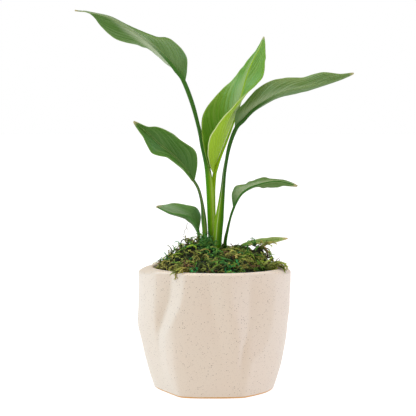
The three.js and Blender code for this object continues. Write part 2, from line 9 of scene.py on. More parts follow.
import json
import logging
import math
import random
from collections.abc import Callable, Iterator, Sequence
from dataclasses import dataclass, field
from enum import Enum
from functools import cached_property, lru_cache

import bmesh
import bpy
from mathutils import Matrix, Vector, noise

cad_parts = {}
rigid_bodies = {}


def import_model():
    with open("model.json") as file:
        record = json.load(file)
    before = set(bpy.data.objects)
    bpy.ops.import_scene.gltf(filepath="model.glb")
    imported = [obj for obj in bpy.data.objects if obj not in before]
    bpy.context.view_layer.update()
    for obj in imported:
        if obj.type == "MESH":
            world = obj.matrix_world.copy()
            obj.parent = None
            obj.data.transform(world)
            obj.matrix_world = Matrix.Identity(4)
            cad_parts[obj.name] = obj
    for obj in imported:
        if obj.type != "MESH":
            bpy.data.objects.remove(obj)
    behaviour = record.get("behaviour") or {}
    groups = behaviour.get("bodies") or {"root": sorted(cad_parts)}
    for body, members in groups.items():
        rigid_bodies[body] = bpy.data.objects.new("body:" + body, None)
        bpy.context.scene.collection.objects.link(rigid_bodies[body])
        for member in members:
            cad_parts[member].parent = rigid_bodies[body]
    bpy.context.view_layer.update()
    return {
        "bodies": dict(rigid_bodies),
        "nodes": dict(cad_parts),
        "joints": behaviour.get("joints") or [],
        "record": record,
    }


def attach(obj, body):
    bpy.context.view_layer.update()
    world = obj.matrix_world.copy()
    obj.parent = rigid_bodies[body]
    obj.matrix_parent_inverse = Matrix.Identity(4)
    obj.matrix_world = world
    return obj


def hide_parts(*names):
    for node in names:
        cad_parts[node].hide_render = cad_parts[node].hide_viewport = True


log = logging.getLogger("potted_plant")

MM = 0.001
BODY = "root"
SURFACE_MAP = "surface"  # the UV map of every piece that is drawn from a rule
GOLDEN_ANGLE = 2.39996  # sets points evenly over a disc

Table = Sequence[tuple[float, float]]
Point = tuple[float, float, float]
Rule = Callable[[float, float], Vector]
Chart = Callable[[float, float], tuple[float, float]]
RadiusRule = Callable[[float], float]
Socket = bpy.types.NodeSocket
Look = Socket | Sequence[float] | float


# ---- Small tools ------------------------------------------------------------------------------


def mix(low: float, high: float, share: float) -> float:
    """A value between two others."""
    return low + (high - low) * share


def clamp(value: float, low: float = 0.0, high: float = 1.0) -> float:
    """A value held between two limits."""
    return min(max(value, low), high)


def smooth(value: float, low: float, high: float) -> float:
    """A smooth step from 0 at low to 1 at high."""
    share = clamp((value - low) / (high - low))
    return share * share * (3 - 2 * share)


def along(table: Table, place: float) -> float:
    """Reads a smooth curve through a table of (place, value) pairs.

    Args:
        table: the pairs, in rising order of place.
        place: where the curve is read. Past an end it stays level.

    Returns:
        The value there.
    """
    last = len(table) - 1
    if place <= table[0][0]:
        return table[0][1]
    if place >= table[last][0]:
        return table[last][1]
    after = next(i for i, (start, _) in enumerate(table) if start > place)

    def slope(low: int, high: int) -> float:
        """The slope from one pair to another."""
        return (table[high][1] - table[low][1]) / (table[high][0] - table[low][0])

    span = table[after][0] - table[after - 1][0]
    leaving = slope(max(after - 2, 0), after) * span
    arriving = slope(after - 1, min(after + 1, last)) * span
    share = (place - table[after - 1][0]) / span
    rise = share * share * (3 - 2 * share)
    bend = leaving * share * (1 - share) ** 2 - arriving * share * share * (1 - share)
    return mix(table[after - 1][1], table[after][1], rise) + bend


@dataclass(frozen=True)
class SmoothLine:
    """A smooth line that runs evenly from point to point, in metres."""

    points: tuple[Vector, ...]

    @classmethod
    def through(cls, points: Sequence[Sequence[float]], lift: float = 0.0) -> SmoothLine:
        """A line through points in millimetres, raised by lift."""
        return cls(tuple(Vector((x, y, z + lift)) * MM for x, y, z in points))

    def at(self, t: float) -> Vector:
        """The point at a share t of the way, from 0 to 1.

        Args:
            t: the share.

        Returns:
            The point, in metres.
        """
        last = len(self.points) - 1
        place = clamp(t) * last
        start = min(int(place), last - 1)
        share = place - start
        here, there = self.points[start], self.points[start + 1]
        before = self.points[start - 1] if start > 0 else 2 * here - there
        after = self.points[start + 2] if start + 2 <= last else 2 * there - here
        leaving, arriving = (there - before) / 2, (after - here) / 2
        square, cube = share * share, share * share * share
        return (
            here * (2 * cube - 3 * square + 1)
            + leaving * (cube - 2 * square + share)
            + there * (3 * square - 2 * cube)
            + arriving * (cube - square)
        )

    def heading(self, t: float) -> Vector:
        """The line's direction at a share t of the way."""
        step = 0.0005
        return (self.at(min(t + step, 1)) - self.at(max(t - step, 0))).normalized()


def linear_colour(code: str) -> tuple[float, float, float, float]:
    """Turns an sRGB hex value into a linear colour.

    Args:
        code: the value, such as #e6dccd.

    Returns:
        Red, green, blue and a full alpha.
    """
    channels = [int(code[i : i + 2], 16) / 255 for i in (1, 3, 5)]
    red, green, blue = (c / 12.92 if c <= 0.04045 else ((c + 0.055) / 1.055) ** 2.4 for c in channels)
    return red, green, blue, 1.0


def add_node(
    tree: bpy.types.NodeTree,
    kind: str,
    inputs: dict[str | int, Look] | None = None,
    output: str | int = 0,
    **settings: object,
) -> Socket:
    """Adds one node with its settings and links.

    Args:
        tree: the node tree.
        kind: the node's type, without the word ShaderNode that it starts with.
        inputs: what each input gets, by name or number: a socket that feeds it, or a value.
        output: which output is wanted, by name or number.
        settings: the node's own properties.

    Returns:
        The socket of the wanted output.
    """
    node = tree.nodes.new("ShaderNode" + kind)
    for name, value in settings.items():
        setattr(node, name, value)
    for socket, value in (inputs or {}).items():
        if isinstance(value, Socket):
            tree.links.new(value, node.inputs[socket])
        else:
            node.inputs[socket].default_value = value
    return node.outputs[output]


@dataclass(frozen=True)
class Layer:
    """A colour that comes in over those below it, as a value goes from one limit to the other."""

    colour: str
    follows: Socket
    start: float
    full: float
    strength: Look = 1.0
    even: bool = False  # whether it comes in evenly, without easing at the limits


@dataclass
class Finish:
    """A new material: its node tree, its shader and what most finishes read."""

    name: str
    material: bpy.types.Material = field(init=False)

    def __post_init__(self) -> None:
        """Makes the material with a bare shader."""
        self.material = bpy.data.materials.new(self.name)
        self.material.use_nodes = True

    @property
    def tree(self) -> bpy.types.NodeTree:
        """The material's node tree."""
        return self.material.node_tree

    @cached_property
    def place(self) -> Socket:
        """Where a point lies on the object, in metres."""
        return add_node(self.tree, "TexCoord", output="Object")

    @cached_property
    def height(self) -> Socket:
        """How high a point lies, in metres."""
        return add_node(self.tree, "SeparateXYZ", {0: self.place}, "Z")

    @cached_property
    def chart(self) -> tuple[Socket, Socket]:
        """Where a point lies on the piece's UV map: the share across or round, and the way along.

        Returns:
            The two sockets.
        """
        surface = add_node(self.tree, "UVMap", uv_map=SURFACE_MAP)
        across = add_node(self.tree, "SeparateXYZ", {0: surface}, "X")
        return across, add_node(self.tree, "SeparateXYZ", {0: surface}, "Y")

    def layered(self, base: str, layers: Sequence[Layer]) -> Look:
        """Lays colours over each other.

        Args:
            base: the lowest colour.
            layers: the others, from below.

        Returns:
            The socket of the colour that is seen, or the base itself where it has no layers.
        """
        colour: Look = linear_colour(base)
        for layer in layers:
            cover = add_node(
                self.tree,
                "MapRange",
                {
                    "Value": layer.follows, "From Min": layer.start, "From Max": layer.full,
                    "To Max": layer.strength,
                },
                interpolation_type="LINEAR" if layer.even else "SMOOTHSTEP",
            )
            over = linear_colour(layer.colour)
            colour = add_node(self.tree, "Mix", {0: cover, 6: colour, 7: over}, 2, data_type="RGBA")
        return colour

    def dress(self, **looks: Look) -> bpy.types.Material:
        """Gives the shader's inputs their sockets and values.

        Args:
            looks: a socket or a value for each input, by its name.

        Returns:
            The finished material.
        """
        shader = self.tree.nodes["Principled BSDF"]
        for name, look in looks.items():
            socket = shader.inputs[name.replace("_", " ").title().replace("Ior", "IOR")]
            if isinstance(look, Socket):
                self.tree.links.new(look, socket)
            else:
                socket.default_value = look
        return self.material


def wrapped_grid(columns: int, rows: int, rule: Rule, surface: Chart) -> bmesh.types.BMesh:
    """A grid whose points are moved to where a rule puts them.

    Args:
        columns: how many faces wide the grid is.
        rows: how many faces long it is.
        rule: gives the place of a grid point from its two shares, each from 0 to 1.
        surface: gives its place in the UV map from the same shares.

    Returns:
        The bmesh of the moved grid, with its UV map.
    """
    bm = bmesh.new()
    layer = bm.loops.layers.uv.new(SURFACE_MAP)
    bmesh.ops.create_grid(bm, x_segments=columns, y_segments=rows, size=0.5)
    for face in bm.faces:
        face.smooth = True
        for loop in face.loops:
            loop[layer].uv = surface(loop.vert.co.x + 0.5, loop.vert.co.y + 0.5)
    for vert in bm.verts:
        vert.co = rule(round(vert.co.x + 0.5, 6), round(vert.co.y + 0.5, 6))
    return bm


def close_ends(bm: bmesh.types.BMesh, reach: float = 0.00001) -> None:
    """Joins a wrapped grid's two edges where they meet, and closes the holes at its ends."""
    bmesh.ops.remove_doubles(bm, verts=bm.verts[:], dist=reach)
    bmesh.ops.holes_fill(bm, edges=[edge for edge in bm.edges if edge.is_boundary], sides=0)


def add_piece(
    bm: bmesh.types.BMesh, name: str, materials: Sequence[bpy.types.Material], slot: str, *nodes: str
) -> bpy.types.Object:
    """Makes a bmesh a piece of the plant.

    Args:
        bm: the finished shape, in the plant's frame. It is freed.
        name: the piece's name.
        materials: its materials, in the order that its faces number them.
        slot: the record's material slot. It is not used.
        nodes: the solids that it stands for.

    Returns:
        The new object.
    """
    mesh = bpy.data.meshes.new(name)
    bm.to_mesh(mesh)
    bm.free()
    for material in materials:
        mesh.materials.append(material)
    piece = bpy.data.objects.new(name, mesh)
    bpy.context.scene.collection.objects.link(piece)
    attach(piece, BODY)
    if nodes:
        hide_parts(*nodes)
    log.info("%s: %d faces", name, len(mesh.polygons))
    return piece


# ---- Finishes ---------------------------------------------------------------------------------


@dataclass(frozen=True)
class SpeckledStoneware:
    """Stoneware under a satin-matte cream glaze. Iron specks in the clay burn through it."""

    cream: str = "#dccbb8"
    blush: str = "#dccab7"
    speck: str = "#80604a"
    clay: str = "#cf9850"
    cloud_size: float = 45 * MM
    cloud_limits: tuple[float, float] = (0.35, 0.65)
    # for the coarse and the fine specks: spacing, largest radius as a share of it, and darkness
    specks: tuple[tuple[float, float, float], ...] = ((1.6 * MM, 0.28, 0.95), (1.05 * MM, 0.28, 0.5))
    speckless: float = 0.28  # the share of spots that have no speck
    speck_edge: tuple[float, float] = (1.15, 0.6)  # where a speck starts and is full, in its radii
    bare_height: float = 1.5 * MM
    bare_wander: float = 0.8 * MM
    bare_wave: float = 14 * MM
    bare_edge: tuple[float, float] = (0.25 * MM, -0.1 * MM)
    glaze_roughness: float = 0.46
    clay_roughness: float = 0.9
    grain_size: float = 0.5 * MM
    grain_depth: float = 0.1 * MM
    grain_relief: float = 0.12

    def material(self) -> bpy.types.Material:
        """The glazed clay."""
        finish = Finish("speckled_stoneware")
        tree, place = finish.tree, finish.place
        clouds = add_node(tree, "TexNoise", {"Vector": place, "Scale": 1 / self.cloud_size, "Detail": 1.0})
        above = self._above_bare_foot(finish)
        colour = finish.layered(
            self.cream,
            [
                Layer(self.blush, clouds, *self.cloud_limits),
                *(
                    Layer(self.speck, self._speck_radii(finish, spacing, radius), *self.speck_edge, darkness)
                    for spacing, radius, darkness in self.specks
                ),
                Layer(self.clay, above, *self.bare_edge, even=True),
            ],
        )
        glazed, bare = self.bare_edge
        rough = add_node(
            tree,
            "MapRange",
            {
                "Value": above, "From Min": bare, "From Max": glazed,
                "To Min": self.clay_roughness, "To Max": self.glaze_roughness,
            },
        )
        grain = add_node(tree, "TexNoise", {"Vector": place, "Scale": 1 / self.grain_size, "Detail": 2.0})
        relief = add_node(
            tree, "Bump", {"Height": grain, "Strength": self.grain_relief, "Distance": self.grain_depth}
        )
        return finish.dress(base_color=colour, roughness=rough, normal=relief, ior=1.5)

    def _speck_radii(self, finish: Finish, spacing: float, largest: float) -> Socket:
        """How far a point lies from the nearest spot, which may have a speck of random size.

        Args:
            finish: the material that the specks are drawn in.
            spacing: the mean distance from spot to spot.
            largest: the largest speck's radius, as a share of the spacing.

        Returns:
            The socket of the distance, in radii of the speck.
        """
        scatter = {"Vector": finish.place, "Scale": 1 / spacing}
        draw = add_node(finish.tree, "TexVoronoi", scatter, "Color")
        distance = add_node(finish.tree, "TexVoronoi", scatter, "Distance")
        chance = add_node(finish.tree, "SeparateColor", {0: draw}, "Red")
        radius = add_node(
            finish.tree,
            "MapRange",
            {"Value": chance, "From Min": self.speckless, "To Min": 0.001, "To Max": largest},
        )
        return add_node(finish.tree, "Math", {0: distance, 1: radius}, operation="DIVIDE")

    def _above_bare_foot(self, finish: Finish) -> Socket:
        """How far a point lies above the wavering line to which the foot was wiped clean of glaze.

        Args:
            finish: the material that reads it.

        Returns:
            The socket of the distance, below 0 on bare clay.
        """
        wander = add_node(finish.tree, "TexNoise", {"Vector": finish.place, "Scale": 1 / self.bare_wave})
        low = self.bare_height - self.bare_wander / 2
        line = add_node(
            finish.tree, "Math", {0: wander, 1: self.bare_wander, 2: low}, operation="MULTIPLY_ADD"
        )
        return add_node(finish.tree, "Math", {0: finish.height, 1: line}, operation="SUBTRACT")


@dataclass(frozen=True)
class PaintedLightBand:
    """A painted band along one half of a leaf, from its rib outwards: pale for painted sheen, darker for
    painted shade.
    """

    colour: str
    side: int  # -1 for the left half, 1 for the right
    reach_base: float  # how far out it reaches at the stalk, as a share of that half's width
    reach_tip: float
    strength: float = 0.75
    softness: float = 0.5
    rib_share: float = 0.08  # the share of the half's width over which it starts

    def layer(self, tree: bpy.types.NodeTree, signed: Socket, forward: Socket, length: float) -> Layer:
        """The painted band as it lies on a blade.

        Args:
            tree: the leaf skin's node tree.
            signed: gives how far from the rib a point lies, from -1 to 1.
            forward: gives how far along the blade it lies, in metres.
            length: the blade's length.

        Returns:
            The band's painted colour and where it lies.
        """
        outside = add_node(tree, "Math", {0: signed, 1: self.side}, operation="MULTIPLY")
        reach = add_node(
            tree,
            "MapRange",
            {"Value": forward, "From Max": length, "To Min": self.reach_base, "To Max": self.reach_tip},
        )
        past = add_node(tree, "Math", {0: outside, 1: reach}, operation="SUBTRACT")
        on_side = add_node(
            tree,
            "MapRange",
            {"Value": outside, "From Max": self.rib_share, "To Max": self.strength},
            interpolation_type="SMOOTHSTEP",
        )
        return Layer(self.colour, past, self.softness / 2, -self.softness / 2, on_side)


@dataclass(frozen=True)
class LeafSkin:
    """One face of a leathery leaf: waxy and satin, with close side veins that lean towards the tip, painted
    sheen in pale stripes along the veins, and painted sheen and painted shade in bands along its halves.
    """

    green: str
    light: str
    # light: the pale colour of the painted sheen stripes along the veins
    vein: str
    rib: str = "#8da45c"
    margin: str = "#7f9a55"
    base: str | None = None  # the colour near the stalk, if it differs
    tip: str = "#b3a878"
    # painted sheen and painted shade, in bands along the halves
    painted_light_bands: tuple[PaintedLightBand, ...] = ()
    roughness: float = 0.42
    roughness_spread: float = 0.08
    vein_strength: float = 0.5
    vein_spacing: float = 4.6 * MM  # along the rib
    vein_lean: float = 58 * MM  # how far along the leaf a vein has run when it meets the margin
    vein_bend: float = 1.15
    vein_wander: float = 1.2  # in spacings
    vein_edge: tuple[float, float] = (0.26, 0.03)  # where a vein starts and is full, in spacings
    vein_depth: float = 0.2 * MM
    vein_relief: float = 0.2
    patch_size: float = 26 * MM  # of what makes the veins wander and the gloss uneven
    sheen_streak: float = 0.45  # how strongly the pale stripes of painted sheen run along the veins
    sheen_streak_width: float = 7 * MM
    sheen_streak_limits: tuple[float, float] = (0.42, 0.72)
    rib_edge: tuple[float, float] = (0.075, 0.02)  # as shares of the half blade's width
    margin_edge: tuple[float, float] = (0.93, 0.985)
    base_reach: float = 34 * MM
    tip_reach: float = 7 * MM

    def material(self, name: str, length: float) -> bpy.types.Material:
        """The leaf's skin.

        Args:
            name: the material's name.
            length: the blade's length along its rib.

        Returns:
            The material.
        """
        finish = Finish(name)
        tree = finish.tree
        across, forward = finish.chart
        signed = add_node(tree, "Math", {0: across, 1: 2.0, 2: -1.0}, operation="MULTIPLY_ADD")
        outward = add_node(tree, "Math", {0: signed}, operation="ABSOLUTE")
        patches = add_node(
            tree, "TexNoise", {"Vector": finish.place, "Scale": 1 / self.patch_size, "Detail": 2.0}
        )
        # where on the rib the vein through a point starts
        bent = add_node(tree, "Math", {0: outward, 1: self.vein_bend}, operation="POWER")
        source = add_node(tree, "Math", {0: bent, 1: -self.vein_lean, 2: forward}, operation="MULTIPLY_ADD")
        count = add_node(tree, "Math", {0: source, 1: 1 / self.vein_spacing}, operation="MULTIPLY")
        loose = add_node(tree, "Math", {0: patches, 1: self.vein_wander, 2: count}, operation="MULTIPLY_ADD")
        wave = add_node(tree, "Math", {0: loose, 1: 0.5}, operation="PINGPONG")
        start, full = self.vein_edge
        vein = add_node(
            tree,
            "MapRange",
            {"Value": wave, "From Min": start, "From Max": full},
            interpolation_type="SMOOTHSTEP",
        )
        # the painted sheen stripes change quickly from vein to vein and slowly along them
        lane = add_node(tree, "Math", {0: source, 1: 1 / self.sheen_streak_width}, operation="MULTIPLY")
        spot = add_node(tree, "CombineXYZ", {"X": lane, "Y": signed})
        sheen_streaks = add_node(tree, "TexNoise", {"Vector": spot, "Scale": 1.0, "Detail": 1.0})
        colour = finish.layered(
            self.green,
            [
                # painted sheen and painted shade in bands along each half
                *(painted_light_band.layer(tree, signed, forward, length) for painted_light_band in self.painted_light_bands),
                # painted sheen in pale stripes along the veins
                Layer(self.light, sheen_streaks, *self.sheen_streak_limits, self.sheen_streak),
                Layer(self.base or self.green, forward, self.base_reach, 0.0),
                Layer(self.vein, vein, 0.0, 1.0, self.vein_strength, even=True),
                Layer(self.rib, outward, *self.rib_edge),
                Layer(self.margin, outward, *self.margin_edge),
                Layer(self.tip, forward, length - self.tip_reach, length),
            ],
        )
        low, high = self.roughness - self.roughness_spread, self.roughness + self.roughness_spread
        rough = add_node(tree, "MapRange", {"Value": patches, "To Min": low, "To Max": high})
        relief = add_node(
            tree, "Bump", {"Height": vein, "Strength": self.vein_relief, "Distance": self.vein_depth}
        )
        return finish.dress(base_color=colour, roughness=rough, normal=relief, ior=1.36)


@dataclass(frozen=True)
class StalkSkin:
    """A fleshy leaf stalk: satin, finely ribbed along its length, and brighter where it is a sheath."""

    petiole: str
    sheath: str
    sheath_light: str | None = None  # the sheath's colour towards its channel, if it differs
    rib: str | None = None  # the rib's colour along the blade, if it differs
    edge: str = "#b9c98a"
    sheath_top: float = 190 * MM
    sheath_end: float = 150 * MM
    rib_change: tuple[float, float] = (15 * MM, 60 * MM)  # past the stalk's end
    light_reach: tuple[float, float] = (0.27, 0.1)  # as shares of the way round from the channel
    edge_place: float = 0.13
    edge_width: tuple[float, float] = (0.026, 0.006)
    edge_strength: float = 0.5
    ribs: float = 26.0  # fine ribs round the stalk
    rib_depth: float = 0.08 * MM
    rib_relief: float = 0.25

    def material(self, name: str, stalk_length: float) -> bpy.types.Material:
        """The skin of the stalk and of the rib that carries on from it.

        Args:
            name: the material's name.
            stalk_length: how far along the rib starts.

        Returns:
            The material.
        """
        finish = Finish(name)
        tree = finish.tree
        turn, way = finish.chart
        folded = add_node(tree, "Math", {0: turn, 1: 0.5}, operation="PINGPONG")
        off = add_node(tree, "Math", {0: folded, 1: self.edge_place}, operation="SUBTRACT")
        beside = add_node(tree, "Math", {0: off}, operation="ABSOLUTE")
        colour = finish.layered(
            self.sheath,
            [
                Layer(self.sheath_light or self.sheath, folded, *self.light_reach),
                Layer(self.petiole, finish.height, self.sheath_end, self.sheath_top),
                Layer(self.rib or self.petiole, way, *(stalk_length + past for past in self.rib_change)),
                Layer(self.edge, beside, *self.edge_width, self.edge_strength, even=True),
            ],
        )
        wave = add_node(tree, "Math", {0: turn, 1: 2 * math.pi * self.ribs}, operation="MULTIPLY")
        ribbing = add_node(tree, "Math", {0: wave}, operation="SINE")
        relief = add_node(
            tree, "Bump", {"Height": ribbing, "Strength": self.rib_relief, "Distance": self.rib_depth}
        )
        return finish.dress(
            base_color=colour, normal=relief, roughness=0.5, ior=1.36, specular_ior_level=0.1
        )


@dataclass(frozen=True)
class DriedMoss:
    """Preserved feather moss: dyed and dried, matte, with each frond a little lighter or darker, and with
    painted shade towards each frond's root and painted light towards its tip.
    """

    light: str
    dark: str
    clump_size: float = 5 * MM
    clump_limits: tuple[float, float] = (0.34, 0.66)
    fibre_size: float = 0.9 * MM
    fibre_depth: float = 0.2 * MM
    fibre_relief: float = 0.5
    # painted shade at a frond's root and painted light at its tip, as scales of the dyed colour
    root_shade: float = 0.4
    tip_light: float = 1.45

    def material(self, name: str) -> bpy.types.Material:
        """The moss.

        Args:
            name: the material's name.

        Returns:
            The material.
        """
        finish = Finish(name)
        tree = finish.tree
        clumps = add_node(
            tree, "TexNoise", {"Vector": finish.place, "Scale": 1 / self.clump_size, "Detail": 3.0}
        )
        dyed = finish.layered(self.dark, [Layer(self.light, clumps, *self.clump_limits, even=True)])
        _, way = finish.chart
        # painted shade towards each frond's root, painted light towards its tip
        painted_shade_and_tip_light = add_node(
            tree, "MapRange", {"Value": way, "To Min": self.root_shade, "To Max": self.tip_light}
        )
        colour = add_node(tree, "VectorMath", {0: dyed, "Scale": painted_shade_and_tip_light}, operation="SCALE")
        fibres = add_node(tree, "TexNoise", {"Vector": finish.place, "Scale": 1 / self.fibre_size})
        relief = add_node(
            tree, "Bump", {"Height": fibres, "Strength": self.fibre_relief, "Distance": self.fibre_depth}
        )
        return finish.dress(base_color=colour, normal=relief, roughness=0.9, ior=1.4)


@dataclass(frozen=True)
class PottingSoil:
    """Damp potting mix: dark crumbs of peat and bark with a few pale grains of perlite."""

    peat: str = "#2e2118"
    bark: str = "#4a3524"
    perlite: str = "#b9b2a6"
    crumb_size: float = 2.5 * MM
    crumb_depth: float = 1 * MM
    crumb_relief: float = 0.8
    perlite_limits: tuple[float, float] = (0.96, 0.9601)  # one crumb in 25 is perlite

    def material(self) -> bpy.types.Material:
        """The soil."""
        finish = Finish("potting_soil")
        tree = finish.tree
        scatter = {"Vector": finish.place, "Scale": 1 / self.crumb_size}
        draw = add_node(tree, "TexVoronoi", scatter, "Color")
        shade = add_node(tree, "SeparateColor", {0: draw}, "Red")
        chance = add_node(tree, "SeparateColor", {0: draw}, "Green")
        colour = finish.layered(
            self.peat,
            [
                Layer(self.bark, shade, 0.0, 1.0, even=True),
                Layer(self.perlite, chance, *self.perlite_limits, even=True),
            ],
        )
        crumbs = add_node(tree, "TexVoronoi", scatter, "Distance")
        relief = add_node(
            tree, "Bump", {"Height": crumbs, "Strength": self.crumb_relief, "Distance": self.crumb_depth}
        )
        return finish.dress(base_color=colour, normal=relief, roughness=0.95)


@dataclass(frozen=True)
class LightTable:
    """The milky acrylic top of a light table, which glows a little, so that shadows on it stay pale."""

    white: str = "#959290"
    glow: float = 0.85

    def material(self) -> bpy.types.Material:
        """The acrylic."""
        return Finish("milky_acrylic").dress(
            base_color=linear_colour(self.white), emission_color=(1.0, 1.0, 1.0, 1.0),
            emission_strength=self.glow, roughness=0.9, specular_ior_level=0.0,
        )


# ---- Pot --------------------------------------------------------------------------------------


@dataclass(frozen=True)
class WallLine:
    """A line down the wall where two faces meet: a ridge where it stands out, a pinch where it lies in."""

    azimuth: Table  # by height, in degrees from the front to the right
    rise: Table  # by height, in millimetres off the pressed round wall


POT_HEIGHT = 122.3  # in millimetres
WALL_LINES = (
    WallLine(((0, -92),), ((0, 0.4), (40, 1.2), (66, 4.2), (86, 2.2), (POT_HEIGHT, 2.6))),
    WallLine(  # the crisp crease on the left
        ((0, -58), (40, -55), (70, -50.5), (POT_HEIGHT, -48.5)),
        ((36, 0), (56, 1.6), (80, 3.0), (POT_HEIGHT, 2.8)),
    ),
    WallLine(  # the hollow beside it
        ((0, -52), (40, -52), (60, -49.5), (69, -47), (87, -40.5), (98, -37.5), (POT_HEIGHT, -35)),
        ((40, 0), (58, 0.4), (66, -1.0), (80, -3.4), (98, -4.6), (POT_HEIGHT, -3.4)),
    ),
    WallLine(  # the long ridge beside the front face
        (
            (0, -32.5), (20, -38.5), (42, -39.5), (55, -38.5), (64, -36), (75, -31), (87, -26), (98, -23.5),
            (POT_HEIGHT, -22.3),
        ),
        ((0, 0.0), (20, 1.8), (42, 2.4), (70, 3.2), (98, 3.6), (POT_HEIGHT, 2.2)),
    ),
    WallLine(
        ((0, 8), (42, 6), (55, 4), (64, 2.5), (87, -2), (98, -3.5), (POT_HEIGHT, -4.5)),
        ((20, 0), (60, -2.4), (98, -2.8), (POT_HEIGHT, -1.8)),
    ),
    WallLine(
        ((0, 17), (45, 16.2), (64, 14.5), (87, 9.3), (100, 6.3), (POT_HEIGHT, 5)),
        ((20, 0), (60, 1.4), (98, 1.2), (POT_HEIGHT, 0.8)),
    ),
    WallLine(
        ((0, 19), (50, 19), (72, 17.5), (87, 13.5), (98, 12), (POT_HEIGHT, 11)),
        ((20, 0), (60, 1.2), (98, 2.0), (POT_HEIGHT, 1.4)),
    ),
    WallLine(  # the hollow right of the front
        ((0, 22), (36, 20), (50, 22), (65, 26), (98, 28.5), (POT_HEIGHT, 28.5)),
        ((15, 0), (50, -2.8), (80, -5.0), (98, -4.8), (POT_HEIGHT, -2.4)),
    ),
    WallLine(  # the ridge that runs down to the foot's right corner
        ((0, 26), (27, 25.5), (41, 32), (52, 42), (65, 46), (98, 49.5), (POT_HEIGHT, 51)),
        ((0, 0.2), (27, 0.9), (65, 2.2), (98, 2.6), (POT_HEIGHT, 2.2)),
    ),
    WallLine(((0, 88),), ((0, -0.4), (50, 0.0), (90, 1.4), (POT_HEIGHT, 2.8))),
)


